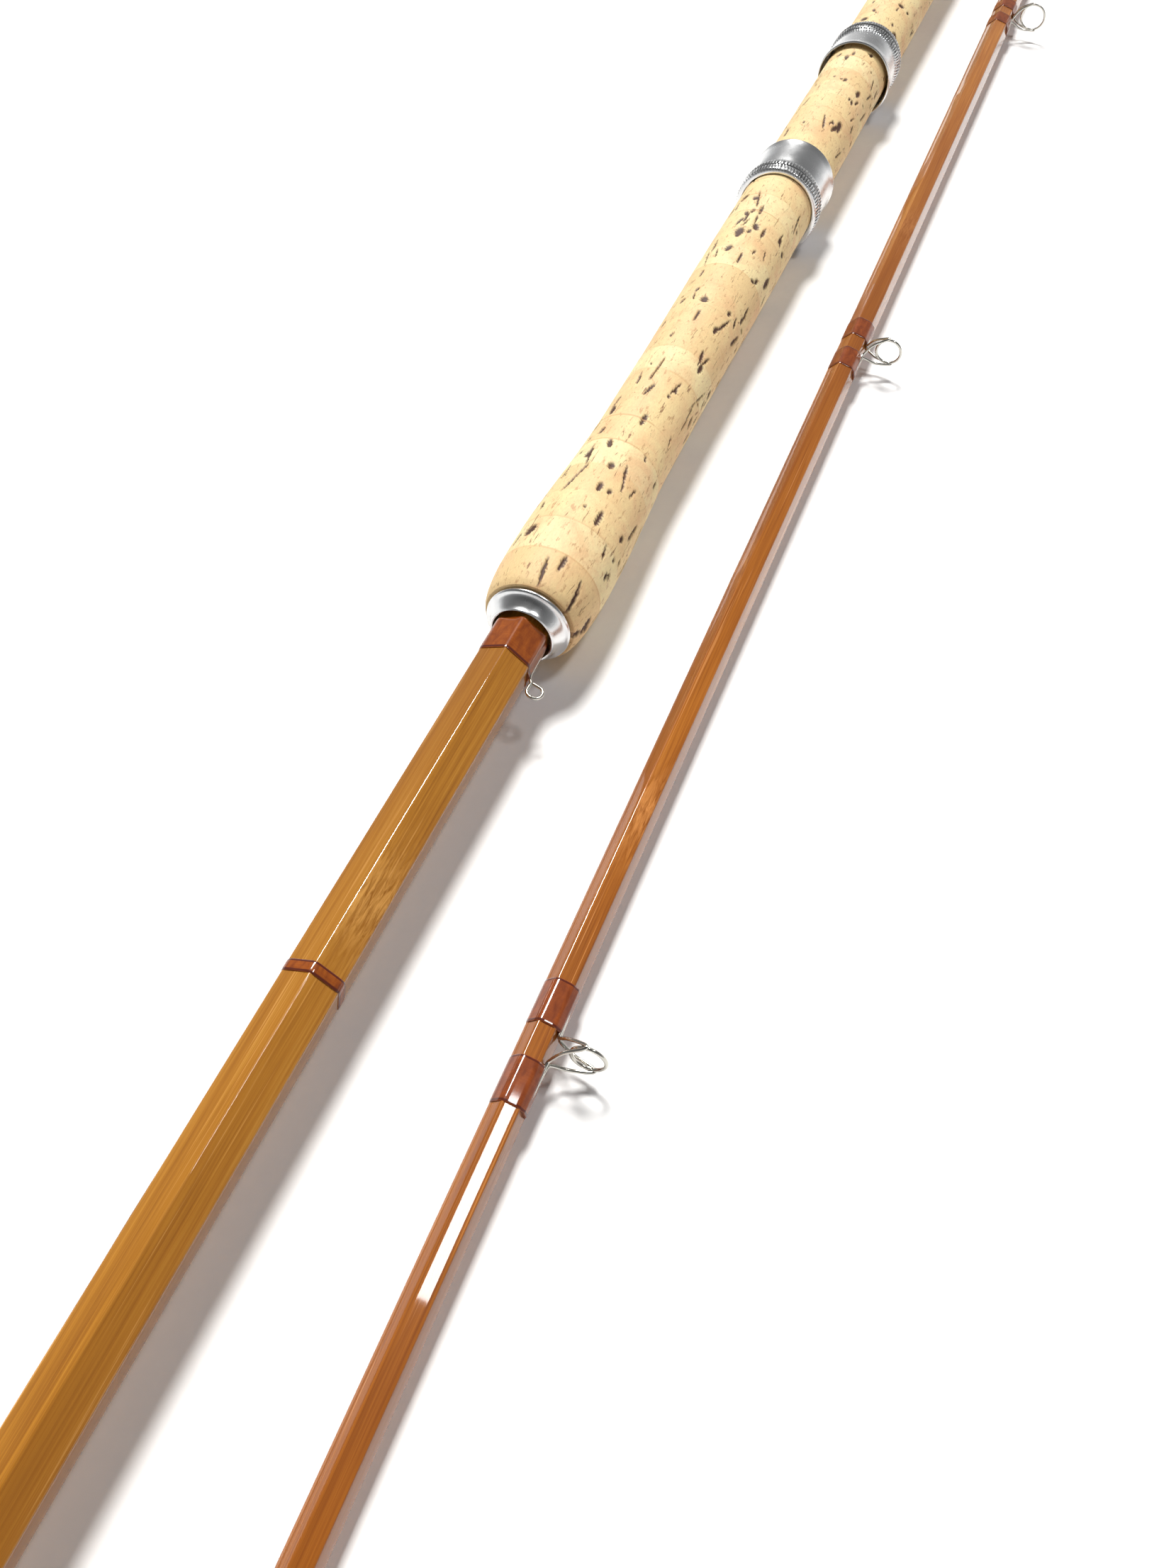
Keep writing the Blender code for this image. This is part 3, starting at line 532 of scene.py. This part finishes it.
def metal_material(name, colour, roughness, lines=3600.0):
    """Turned metal: fine lines round the axis, faint scratches, a patchy bloom, and painted shade in
    the valleys of its knurling and grooves.
    """
    nodes = Nodes(name, roughness, metallic=1.0)
    ring = nodes.noise((lines, 40, 40), 3.0, 0.65)
    bloom = nodes.noise((180, 240, 240), 4.0, 0.6)
    scratches = nodes.noise((700, 2400, 160), 3.0, 0.7, 1.5)
    shade = tuple(channel * 0.72 for channel in colour)
    # Painted shade: the knurl's valleys and the groove are darkened towards this colour by the valley
    # attribute
    valley_shade_colour = tuple(channel * 0.35 for channel in colour)
    base = nodes.spots(colour, bloom, 0.35, 0.75, 0.5, shade)
    base = nodes.spots(base, scratches, 0.62, 0.7, 0.35, shade)
    nodes.colour(nodes.mix(nodes.attribute("valley"), base, valley_shade_colour))
    rough = nodes.maths("MULTIPLY_ADD", bloom, 0.16, roughness - 0.07)
    nodes.join(rough, nodes.shader.inputs["Roughness"])
    nodes.bump(ring, 0.10, 0.00006)
    return nodes.material


def rubber_material():
    """Matt black rubber with a faint dusty grain."""
    nodes = Nodes("black_rubber", 0.7)
    grain = nodes.noise((1500, 1500, 1500), 4.0, 0.7)
    dust = nodes.noise((160, 160, 160), 4.0, 0.6)
    colour = nodes.ramp(grain, [(0.3, (0.016, 0.016, 0.017)), (0.8, (0.035, 0.034, 0.033))])
    nodes.colour(nodes.spots(colour, dust, 0.55, 0.8, 0.3, (0.09, 0.085, 0.08)))
    nodes.bump(grain, 0.3, 0.0002)
    return nodes.material


def floor_material():
    """White paper, with a trace of fibre."""
    nodes = Nodes("white_paper", 0.55)
    fibre = nodes.noise((300, 300, 300), 4.0, 0.6)
    nodes.colour(nodes.ramp(fibre, [(0.2, (0.93, 0.93, 0.93)), (0.8, (0.97, 0.97, 0.97))]))
    return nodes.material


def make_materials():
    """The rod's materials by name."""
    honey = (0.27, 0.095, 0.010), (0.47, 0.195, 0.022), (0.62, 0.30, 0.048)
    amber = (0.24, 0.065, 0.008), (0.42, 0.135, 0.016), (0.55, 0.205, 0.028)
    return {
        "cork": cork_material(),
        "butt_cane": cane_material("honey_cane", *honey),
        "top_cane": cane_material("amber_cane", *amber),
        "butt_silk": silk_material("tan_silk", (0.20, 0.040, 0.006), (0.38, 0.095, 0.010)),
        "top_silk": silk_material("plum_silk", (0.17, 0.034, 0.009), (0.33, 0.075, 0.014)),
        "alloy": metal_material("polished_alloy", (0.86, 0.87, 0.88), 0.24),
        "nickel": metal_material("nickel_silver", (0.72, 0.68, 0.60), 0.22),
        "steel": metal_material("ring_steel", (0.70, 0.68, 0.62), 0.20, lines=900.0),
        "rubber": rubber_material(),
    }


# ---------------------------------------------------------------- cork


def cork_outline(section):
    """Radius of the grip along its axis, read from the outer corners of its solid."""
    points = section.local("cork_grip")
    radius = np.hypot(points[:, 1], points[:, 2])
    outer = radius > CORK_LEAST_RADIUS
    along, size = points[outer, 0], radius[outer]
    stations = np.unique(np.round(along, 5))
    return stations, [size[np.abs(along - x) < 0.00002].max() for x in stations]


def cork_radii(section, along):
    """The grip's radius at each station, smoothed over its shaped front."""
    radius = np.interp(along, *cork_outline(section))
    kernel = np.hanning(CORK_SMOOTHING)
    padded = np.pad(radius, CORK_SMOOTHING // 2, mode="edge")
    soft = np.convolve(padded, kernel / kernel.sum(), mode="valid")
    shaped = (along > along[-1] - CORK_SHAPED) & (along < along[-1] - CORK_FRONT_EDGE)
    return np.where(shaped, soft, radius)


def pit_field(along, around, length, girth, random):
    """How deep the pits are at each point, 0 to 1."""
    depth = np.zeros(along.shape)
    for number in range(PITS):
        kind = random.random()
        longer, wider = next(shape[1:] for shape in PIT_SHAPES if kind >= shape[0])
        x0 = random.random() * length
        a0 = random.random() * girth
        half_x = (PIT_HALF_LENGTH[0] + PIT_HALF_LENGTH[1] * random.random() ** 1.5) * longer
        half_a = (PIT_HALF_WIDTH[0] + PIT_HALF_WIDTH[1] * random.random()) * wider
        lean = (random.random() - 0.5) * 0.5
        near = np.abs(along - x0) < half_x * 1.6
        dx = along[near] - x0
        da = (around[near] - a0 + girth / 2) % girth - girth / 2 - dx * lean
        # The waves make its edge ragged
        wobble = 0.25 * np.sin(dx * 5200 + number) + 0.2 * np.sin(dx * 11900 + number * 2.1)
        away = np.sqrt((dx / half_x) ** 2 + (da / (half_a * (1 + wobble))) ** 2)
        depth[near] = np.maximum(depth[near], np.clip((1.15 - away) / 0.35, 0, 1))
    return depth


def seam_field(from_front, ring, angles, random):
    """How strong the seams between the cork rings are at each point, 0 to 1."""
    offset = from_front - ring * CORK_RING
    seam = np.clip(1 - np.minimum(offset, CORK_RING - offset) / SEAM_REACH, 0, 1)
    strength = random.random(ring.max() + 2)
    return seam * strength[ring] * (0.35 + 0.65 * (np.sin(angles * 2 + ring * 1.7) > -0.2))


def grip_faces(rows):
    """Faces of the grip's outside, of its two ends and of its bore, whose rims are the last points."""
    columns = CORK_STEPS_ROUND
    faces = grid_faces(rows, columns)
    last_row = (rows - 1) * columns
    rear = rows * columns
    front = rear + columns
    for column in range(columns):
        after = (column + 1) % columns
        faces.append((column, after, rear + after, rear + column))
        faces.append((last_row + after, last_row + column, front + column, front + after))
        faces.append((rear + column, rear + after, front + after, front + column))
    return faces


def cork_grip(section, material):
    """The grip as the turned cork rings it is made of, with their seams and open pits."""
    random = np.random.default_rng(SEED)
    start, end = section.span("cork_grip")
    rows = int((end - start) / CORK_STEP_X)
    along = np.linspace(start, end, rows)
    radius = cork_radii(section, along)
    angles = angles_round(CORK_STEPS_ROUND)
    grid_x, grid_a = np.meshgrid(along, angles, indexing="ij")
    girth = FULL_TURN * float(radius.max())

    ring = np.floor((end - grid_x) / CORK_RING).astype(int)
    seam = seam_field(end - grid_x, ring, grid_a, random)
    pits = pit_field(grid_x - start, grid_a / FULL_TURN * girth, end - start, girth, random)
    tones = random.random(ring.max() + 1)[ring]
    ripple = RIPPLE_DEPTH * np.sin(grid_a * 3 + ring * 2.3)
    grid_r = radius[:, None] - PIT_DEPTH * pits - SEAM_DEPTH * seam - CORK_SKIN + ripple

    outside = np.stack([grid_x, grid_r * np.sin(grid_a), grid_r * np.cos(grid_a)], axis=-1)
    bore = section.half_flat(end) / math.cos(TO_CORNER) + CORK_BORE_GAP
    rims = [(x, bore * math.sin(a), bore * math.cos(a)) for x in (start, end) for a in angles]
    points = np.vstack([outside.reshape(-1, 3), rims])
    obj = piece("cork_grip_rings", section, points, grip_faces(rows), material, sharp=60.0)
    fields = (
        ("ring_tone", tones, 0.4),
        ("pit", np.clip(pits * 1.3, 0, 1), 0.0),
        ("seam", seam * 0.9, 0.0),
    )
    for name, field, on_rims in fields:
        values = np.concatenate([field.reshape(-1), np.full(len(rims), on_rims)])
        set_attribute(obj, name, values)
    finish_piece(obj, "cork_grip")


# ---------------------------------------------------------------- cane


def knot_places(section, number, random, shift):
    """Where the bamboo's knots fall on one strip: staggered from strip to strip."""
    start, end = section.span(*section.strips)
    place = start + shift + KNOT_SPACING * ((number * 0.37 + 0.2) % 1.0)
    places = []
    while place < end:
        places.append(place)
        place += KNOT_SPACING * (0.92 + 0.16 * random.random())
    return places


def near_knots(x, knots, reach):
    """How near x is to a knot, from 0 to 1 at the knot itself."""
    return min(1.0, sum(math.exp(-(((x - knot) / reach) ** 2)) for knot in knots))


def darker_wave(x, number):
    """How much darker a strip is at x along it, in a slow wave whose phase steps on from strip to
    strip: 0 to 1.
    """
    return 0.5 + 0.5 * math.sin(x * DARKER_WAVE + number * DARKER_STEP + DARKER_START)


def strip_outline(half, rise):
    """A strip's (out, across) points: the rod's axis, then its outer face with softened corners."""
    face = half + rise
    wide = half * math.tan(TO_CORNER)
    edge = min(CANE_EDGE, wide * 0.12)
    drop = edge * 0.27
    corner = (
        (face - drop, wide - drop * 0.58),
        (face - drop * 0.3, wide - edge * 0.5),
        (face, wide - edge),
    )
    left = [(out, -across) for out, across in corner]
    return [(0.0, 0.0), *left, (face, -wide / 3), (face, wide / 3), *reversed(corner)]


def cane_strips(section, prefix, material, shift=0.0):
    """Six strips with softened outer corners that meet their neighbours along the glue lines."""
    random = np.random.default_rng(SEED + len(prefix))
    start, end = section.span(*section.strips)
    count = int((end - start) / CANE_STEP)
    first_facet = section.facet(section.strips[0])
    for number, node in enumerate(section.strips):
        facet = first_facet + number * FULL_TURN / SIDES
        knots = knot_places(section, number, random, shift)
        stations = sorted(set(np.linspace(start, end, count)) | set(knots))
        strip_tone = random.random()
        points, knot, tone = [], [], []
        for x in stations:
            rise = KNOT_RISE * near_knots(x, knots, KNOT_RISE_REACH)
            outline = strip_outline(section.flat(x), rise)
            for out, across in outline:
                y = out * math.sin(facet) + across * math.cos(facet)
                z = out * math.cos(facet) - across * math.sin(facet)
                points.append((x, y, z))
            knot += [near_knots(x, knots, KNOT_MOTTLE_REACH)] * len(outline)
            tone += [0.35 * strip_tone + darker_wave(x, number)] * len(outline)
        columns = len(outline)
        faces = grid_faces(len(stations), columns)
        faces.append(tuple(range(columns)))
        faces.append(tuple(range(len(points) - columns, len(points)))[::-1])
        obj = piece(f"{prefix}_{number + 1}", section, points, faces, material, sharp=40.0)
        set_attribute(obj, "knot", knot)
        set_attribute(obj, "strip_tone", tone)
        finish_piece(obj, node)


# ---------------------------------------------------------------- whippings


def hexagon_ring(half_flat, edge, facet, foot=None):
    """Points round a hexagon with rounded corners. foot (half width, height) lifts the first facet."""
    corner = half_flat / math.cos(TO_CORNER)
    corners = []
    for side in range(SIDES):
        angle = facet + TO_CORNER + side * FULL_TURN / SIDES
        corners.append(Vector((corner * math.sin(angle), corner * math.cos(angle))))
    points = []
    out = Vector((math.sin(facet), math.cos(facet)))
    across = Vector((math.cos(facet), -math.sin(facet)))
    for side in range(SIDES):
        here, after = corners[side - 1], corners[side]
        length = (after - here).length
        start = here.lerp(after, edge / length)
        end = here.lerp(after, 1 - edge / length)
        following = after.lerp(corners[(side + 1) % SIDES], edge / length)
        for step in range(FACET_STEPS):
            point = start.lerp(end, step / (FACET_STEPS - 1))
            if side == 0 and foot:
                away = abs(point.dot(across)) / foot[0]
                point = point + out * foot[1] * max(0.0, min(1.0, 1.9 - away)) ** 1.3 / 1.9**0.3
            points.append(point)
        for step in (1, 2, 3):
            t = step / 4
            points.append(end * (1 - t) ** 2 + after * 2 * t * (1 - t) + following * t * t)
    return points


def thread_relief(step):
    """The height of the thread at a step, two steps to a turn."""
    return THREAD_RELIEF * (1 if step % 2 else -1)


def trim_at(x, start, end, trims):
    """1 on the dark turns of a whipping and 0 elsewhere. A negative place is from its far end."""
    for place, width in trims:
        centre = start + place if place >= 0 else end + place
        if abs(x - centre) < width / 2:
            return 1.0
    return 0.0


def whipping(section, node, facet, material, foot=None, trims=()):
    """Silk wound round the cane: a ridge for each turn, smoothed by varnish, and tapered ends."""
    start, end = section.span(node)
    half = section.flat(start) + SILK_GAP
    edge, inner_edge = SILK_CORNERS if half > THIN_CANE else (half * share for share in THIN_CORNERS)
    count = max(LEAST_SILK_STEPS, int((end - start) / THREAD_PITCH) * 2)
    points, trim = [], []
    for step in range(count + 1):
        x = start + (end - start) * step / count
        full = 1 - math.exp(-min(x - start, end - x) / THREAD_PITCH)
        size = half + SILK_THICKNESS * (0.35 + 0.65 * full) + thread_relief(step)
        ring = hexagon_ring(size, edge, facet, foot)
        points += [(x, point.x, point.y) for point in ring]
        trim += [trim_at(x, start, end, trims)] * len(ring)
    inner = hexagon_ring(half - SILK_OVERLAP, inner_edge, facet)
    for x in (end, start):
        points += [(x, point.x, point.y) for point in inner]
        trim += [0.0] * len(inner)
    faces = grid_faces(count + 3, len(inner), closed_rows=True)
    obj = piece(f"{node}_silk", section, points, faces, material, sharp=50.0)
    set_attribute(obj, "trim", trim)
    finish_piece(obj, node)


def ferrule_whipping(section, node, material):
    """The round whipping that runs from the cane up on to a ferrule."""
    stations = np.array(section.outline(node))
    start, end = stations[0, 0], stations[-1, 0]
    count = int((end - start) / THREAD_PITCH) * 2
    outline = []
    for step in range(count + 1):
        x = start + (end - start) * step / count
        size = float(np.interp(x, stations[:, 0], stations[:, 1]))
        outline.append((x, size + thread_relief(step) - THREAD_RELIEF))
    walled = [row for row in stations if row[1] - row[2] > 0.0002]
    outline += [(row[0], row[2]) for row in (walled[-1], walled[0])]
    obj = turned(f"{node}_thread", section, outline, material, steps=FERRULE_SILK_STEPS, sharp=50.0)
    set_attribute(obj, "trim", np.zeros(len(obj.data.vertices)))
    finish_piece(obj, node)


# ---------------------------------------------------------------- metal


def band_rows(bore, reach):
    """A reel band's outline from its knurled end: (x, radius, finish) for a band 24.5 mm long."""
    outside = (
        (0.0000, 0.00110, "plain"),
        (0.0004, 0.00050, "plain"),
        (0.0009, 0.00030, "knurled"),
        (0.0013, 0.00020, "knurled"),
        (0.0021, 0.00010, "knurled"),
        (0.0029, 0.00010, "knurled"),
        (0.0036, 0.00020, "groove"),
        (0.0039, 0.00070, "groove"),
        (0.0044, 0.00080, "groove"),
        (0.0047, 0.00030, "groove"),
        (0.0054, 0.00010, "knurled"),
        (0.0066, 0.00010, "knurled"),
        (0.0074, 0.00030, "knurled"),
        (0.0078, 0.00090, "plain"),
        (0.0084, 0.00100, "plain"),
        (0.0095, 0.00085, "plain"),
        (0.0150, 0.00060, "plain"),
        (0.0205, 0.00040, "plain"),
        (0.0233, 0.00020, "plain"),
        (0.0238, 0.00005, "plain"),
        (0.0242, 0.00005, "plain"),
        (0.02445, 0.00030, "plain"),
        (0.0245, 0.00050, "plain"),
        (0.0243, 0.00080, "plain"),
        (0.0200, 0.00090, "plain"),
    )
    rows = [(0.0, bore, "plain")]
    rows += [(x, reach - inset, finish) for x, inset, finish in outside]
    rows += [(0.0090, bore + 0.0006, "plain"), (0.0070, bore + 0.0002, "plain")]
    return rows


def knurling(angles):
    """Square teeth round a band, from 0 on a tooth to 1 in a valley."""
    return 0.5 + 0.5 * np.sign(np.sin(angles * KNURL_TEETH))


def reel_band(section, node, material):
    """A sliding band: bright flared barrel, and two rows of knurling with a groove between."""
    start, end = section.span(node)
    stations = section.outline(node)
    bore = min(row[2] for row in stations)
    rows = band_rows(bore, section.reach(node))
    scale = (end - start) / max(x for x, _, _ in rows)
    if stations[-1][2] < stations[0][2]:
        rows = [(end - x * scale, radius, finish) for x, radius, finish in reversed(rows)]
    else:
        rows = [(start + x * scale, radius, finish) for x, radius, finish in rows]

    def cut(index, angles):
        return -KNURL_DEPTH * knurling(angles) if rows[index][2] == "knurled" else 0.0

    outline = [(x, radius) for x, radius, _ in rows]
    obj = turned(f"{node}_metal", section, outline, material, wave=cut, steps=KNURL_STEPS, body=node)
    # Painted shade for each row: full in the knurl's valleys, most of it in the groove, none on plain
    # rows
    valley_shades = {
        "plain": np.zeros(KNURL_STEPS),
        "knurled": knurling(angles_round(KNURL_STEPS)),
        "groove": np.full(KNURL_STEPS, GROOVE_SHADE),
    }
    set_attribute(obj, "valley", np.concatenate([valley_shades[finish] for _, _, finish in rows]))
    finish_piece(obj, node)


def winding_check(section, material):
    """The dished collar at the front of the cork, with a rolled rim and a bead at its hub."""
    start, end = section.span("winding_check")
    reach = section.reach("winding_check")
    bore = min(row[2] for row in section.outline("winding_check"))
    rim_and_dish = (
        (0.0, 0.0003),
        (0.0003, 0.00008),
        (0.0007, 0.0),
        (0.0011, 0.0001),
        (0.0013, 0.0004),
        (0.00135, 0.0008),
        (0.0017, 0.0013),
        (0.0026, 0.0019),
        (0.0038, 0.0024),
    )
    outline = [(start + x, reach - inset) for x, inset in rim_and_dish]
    outline += [
        (end - 0.0007, reach - 0.0027),
        (end - 0.0002, bore + 0.0006),
        (end, bore + 0.0003),
        (end - 0.0001, bore),
        (start, bore),
    ]
    obj = turned("winding_check_metal", section, outline, material, sharp=45.0)
    finish_piece(obj, "winding_check")


def facet_matrix(x, facet):
    """A frame on the axis at x: local X along the section, and local Z out of the facet."""
    return Matrix.Translation((x, 0, 0)) @ Matrix.Rotation(-facet, 4, "X")


def in_facet(section, node, frame):
    """A node's vertices in the frame of its facet."""
    turn = frame.inverted()
    return np.array([turn @ Vector(point) for point in section.local(node)])


def side_wire(hand, radius, centre, low, foot_end):
    """A bridge ring's wire on one side: foot, leg, its touch on the hoop, leg and foot."""
    half = [
        (foot_end, hand * 0.0001, low),
        (RING_WINDOW + 0.002, hand * 0.0002, low),
        (RING_WINDOW - 0.0004, hand * 0.0004, low + 0.0001),
        (RING_WINDOW - 0.0013, hand * 0.0009, low + 0.0007),
        (RING_WINDOW * 0.42, hand * radius * 0.72, (low + centre) * 0.48),
        (0.0005, hand * (radius - RING_WIRE * 0.1), centre),
    ]
    return curve_through(half + [(-x, y, z) for x, y, z in reversed(half)], RING_WIRE_STATIONS)


def wire_radius(x, foot_end):
    """A side wire's radius, which is ground thinner towards the end of its foot."""
    under = min(1.0, max(0.0, (abs(x) - RING_WINDOW) / (foot_end - RING_WINDOW)))
    return RING_WIRE * (0.92 - 0.5 * under)


def bridge_ring(section, node, material):
    """A stand-off ring: a hoop brazed between two bent side wires, with ground-down feet."""
    start, end = section.span(node)
    foot_end = (end - start) / 2
    frame = facet_matrix((start + end) / 2, section.facet(node))
    points = in_facet(section, node, frame)
    across_hoop = float(points[np.abs(points[:, 0]) < 0.0002][:, 1].max())
    across_wires = float(np.abs(points[:, 1]).max())
    radius = min(across_wires - 2 * RING_WIRE + 0.0004, across_hoop)
    centre = float(points[:, 2].max()) - radius
    low = float(points[:, 2].min()) + 0.0003
    hoop = []
    for step in range(HOOP_STEPS):
        angle = step * FULL_TURN / HOOP_STEPS
        y = (radius - RING_WIRE) * math.sin(angle)
        hoop.append(Vector((0, y, centre + (radius - RING_WIRE) * math.cos(angle))))
    parts = [tube(hoop, [RING_WIRE] * HOOP_STEPS, frame, closed=True)]
    for hand in (1, -1):
        path = side_wire(hand, radius, centre, low, foot_end)
        parts.append(tube(path, [wire_radius(place.x, foot_end) for place in path], frame))
    obj = piece(f"{node}_wire", section, *joined(parts), material, sharp=50.0)
    finish_piece(obj, node)


def keeper(section, material):
    """The hook keeper: a wire teardrop on a short stem."""
    node = "keeper_ring"
    frame = facet_matrix(section.span(node)[0], section.facet("butt_ring_1"))
    heights = in_facet(section, node, frame)[:, 2]
    base, top = float(heights.min()), float(heights.max())
    apex = Vector((KEEPER_APEX, 0, base + 0.0015))
    direction = Vector((math.cos(KEEPER_LEAN), 0, math.sin(KEEPER_LEAN)))
    middle = apex + direction * KEEPER_LOOP_REACH
    round_end = []
    for turn in range(-125, 126, 25):
        angle = KEEPER_LEAN + math.radians(turn)
        round_end.append(middle + Vector((math.cos(angle), 0, math.sin(angle))) * KEEPER_LOOP_RADIUS)
    loop = curve_through([apex, *round_end, apex], KEEPER_LOOP_STATIONS)[:-1]
    loop = [Vector((place.x, place.y, min(place.z, top - RING_WIRE))) for place in loop]
    stem = [(0.0002, 0, base + 0.0003), (0.006, 0, base + 0.0004), (0.0078, 0, base + 0.0009), apex]
    stem = curve_through(stem, KEEPER_STEM_STATIONS)
    parts = [
        tube(loop, [RING_WIRE] * len(loop), frame, closed=True),
        tube(stem, [RING_WIRE * 0.9] * len(stem), frame),
    ]
    obj = piece("keeper_ring_wire", section, *joined(parts), material, sharp=50.0)
    finish_piece(obj, node)


def finish_solid(obj, material, sharp=None):
    """A piece that keeps its solid's shape: only its finish and its shading are set."""
    obj.data.materials.clear()
    obj.data.materials.append(material)
    obj.data.shade_smooth()
    if sharp:
        obj.data.set_sharp_from_angle(angle=math.radians(sharp))


# ---------------------------------------------------------------- the rod


def ring_and_whipping(section, node, silk, steel):
    """A bridge ring, or one of the two whippings that hold its feet."""
    if not node.endswith("whipping"):
        bridge_ring(section, node, steel)
        return
    ring = node.replace("_front_whipping", "").replace("_rear_whipping", "")
    whipping(section, node, section.facet(ring), silk, RING_FOOT, RING_TRIMS)


def dress_rod(butt, top, materials):
    """Every piece of the rod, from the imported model's places and sizes."""
    butt_silk, top_silk = materials["butt_silk"], materials["top_silk"]
    cork_grip(butt, materials["cork"])
    cane_strips(butt, "butt_cane", materials["butt_cane"], BUTT_KNOT_SHIFT)
    cane_strips(top, "top_cane", materials["top_cane"])

    facet = butt.facet("butt_ring_1")
    whipping(butt, "grip_whipping", facet, butt_silk, RING_FOOT, GRIP_TRIMS)
    whipping(butt, "mark_whipping", facet, butt_silk, trims=MARK_TRIMS)
    for section, prefix, silk in ((butt, "butt_ring", butt_silk), (top, "top_ring", top_silk)):
        for node in sorted(name for name in section.nodes if name.startswith(prefix)):
            ring_and_whipping(section, node, silk, materials["steel"])
    whipping(top, "tip_whipping", top.facet("top_ring_1"), top_silk)
    ferrule_whipping(butt, "female_ferrule_whipping", butt_silk)
    ferrule_whipping(top, "male_ferrule_whipping", top_silk)

    reel_band(butt, "rear_reel_band", materials["alloy"])
    reel_band(butt, "front_reel_band", materials["alloy"])
    winding_check(butt, materials["alloy"])
    keeper(butt, materials["steel"])
    finish_solid(top.nodes["tip_ring"], materials["steel"])
    finish_solid(butt.nodes["butt_button"], materials["rubber"], 30.0)
    finish_solid(butt.nodes["butt_cap"], materials["alloy"], 30.0)
    finish_solid(butt.nodes["female_ferrule"], materials["nickel"], 30.0)
    finish_solid(top.nodes["male_ferrule"], materials["nickel"], 30.0)


# ---------------------------------------------------------------- stage


def make_floor(height):
    """A sheet of white paper under the rod."""
    bpy.ops.mesh.primitive_plane_add(size=FLOOR_SIZE, location=(0, 0, height - 0.0001))
    floor = bpy.context.object
    floor.name = "studio_floor"
    floor.data.materials.append(floor_material())


def make_sky():
    """A pale room: bright low down, where the varnish mirrors it at a glance, and dim overhead."""
    world = bpy.data.worlds.new("sky")
    bpy.context.scene.world = world
    world.use_nodes = True
    tree = world.node_tree
    place = tree.nodes.new("ShaderNodeTexCoord")
    height = tree.nodes.new("ShaderNodeSeparateXYZ")
    ramp = tree.nodes.new("ShaderNodeValToRGB")
    ramp.color_ramp.elements.new(0.5)
    for element, (stop, shade) in zip(ramp.color_ramp.elements, SKY):
        element.position = stop
        element.color = (shade, shade, shade, 1)
    background = tree.nodes["Background"]
    background.inputs["Strength"].default_value = SKY_STRENGTH
    tree.links.new(place.outputs["Generated"], height.inputs["Vector"])
    tree.links.new(height.outputs["Z"], ramp.inputs["Fac"])
    tree.links.new(ramp.outputs["Color"], background.inputs["Color"])


def make_key():
    """A soft, even sun from behind the left of the rod."""
    data = bpy.data.lights.new("key", "SUN")
    data.angle = KEY_ANGLE
    data.energy = KEY_STRENGTH
    data.color = KEY_COLOUR
    key = bpy.data.objects.new("key", data)
    key.rotation_euler = Vector(KEY_FROM).to_track_quat("Z", "Y").to_euler()
    bpy.context.scene.collection.objects.link(key)


def make_lamp(check):
    """A small lamp overhead that the varnish mirrors, with its long side along the rod."""
    data = bpy.data.lights.new("lamp", "AREA")
    data.shape = "RECTANGLE"
    data.size, data.size_y = LAMP_SIZE
    data.energy = LAMP_POWER
    lamp = bpy.data.objects.new("lamp", data)
    bpy.context.scene.collection.objects.link(lamp)
    place = check + Vector(LAMP_PLACE)
    back = (place - check - Vector(LAMP_TARGET)).normalized()
    along = (Vector((1, 0, 0)) - back * back.x).normalized()
    turn = Matrix((along, back.cross(along), back)).transposed().to_4x4()
    lamp.matrix_world = Matrix.Translation(place) @ turn


def make_camera(check):
    """The camera, which looks down the rod over the front of its grip."""
    data = bpy.data.cameras.new("camera")
    data.sensor_fit = "VERTICAL"
    data.sensor_height = CAMERA_SENSOR
    data.lens = CAMERA_LENS
    data.clip_start = 0.01
    data.clip_end = 50
    data.dof.use_dof = False
    camera = bpy.data.objects.new("camera", data)
    bpy.context.scene.collection.objects.link(camera)
    camera.location = check + Vector(CAMERA_OFFSET)
    camera.rotation_euler = Vector(CAMERA_LOOK).to_track_quat("-Z", "Y").to_euler()
    bpy.context.scene.camera = camera


def main():
    for obj in list(bpy.data.objects):
        bpy.data.objects.remove(obj)
    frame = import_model()
    cad_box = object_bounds()
    nodes = frame["nodes"]

    butt = Section("butt_section", nodes, "butt_button", "butt_cane_strip")
    top = Section("top_section", nodes, "male_ferrule", "top_cane_strip")
    dress_rod(butt, top, make_materials())

    check = butt.matrix @ Vector((butt.span("winding_check")[0], 0, 0))
    make_floor(cad_box[0].z)
    make_sky()
    make_key()
    make_lamp(check)
    make_camera(check)
    view = bpy.context.scene.view_settings
    view.view_transform = "Standard"
    view.look = "None"


main()
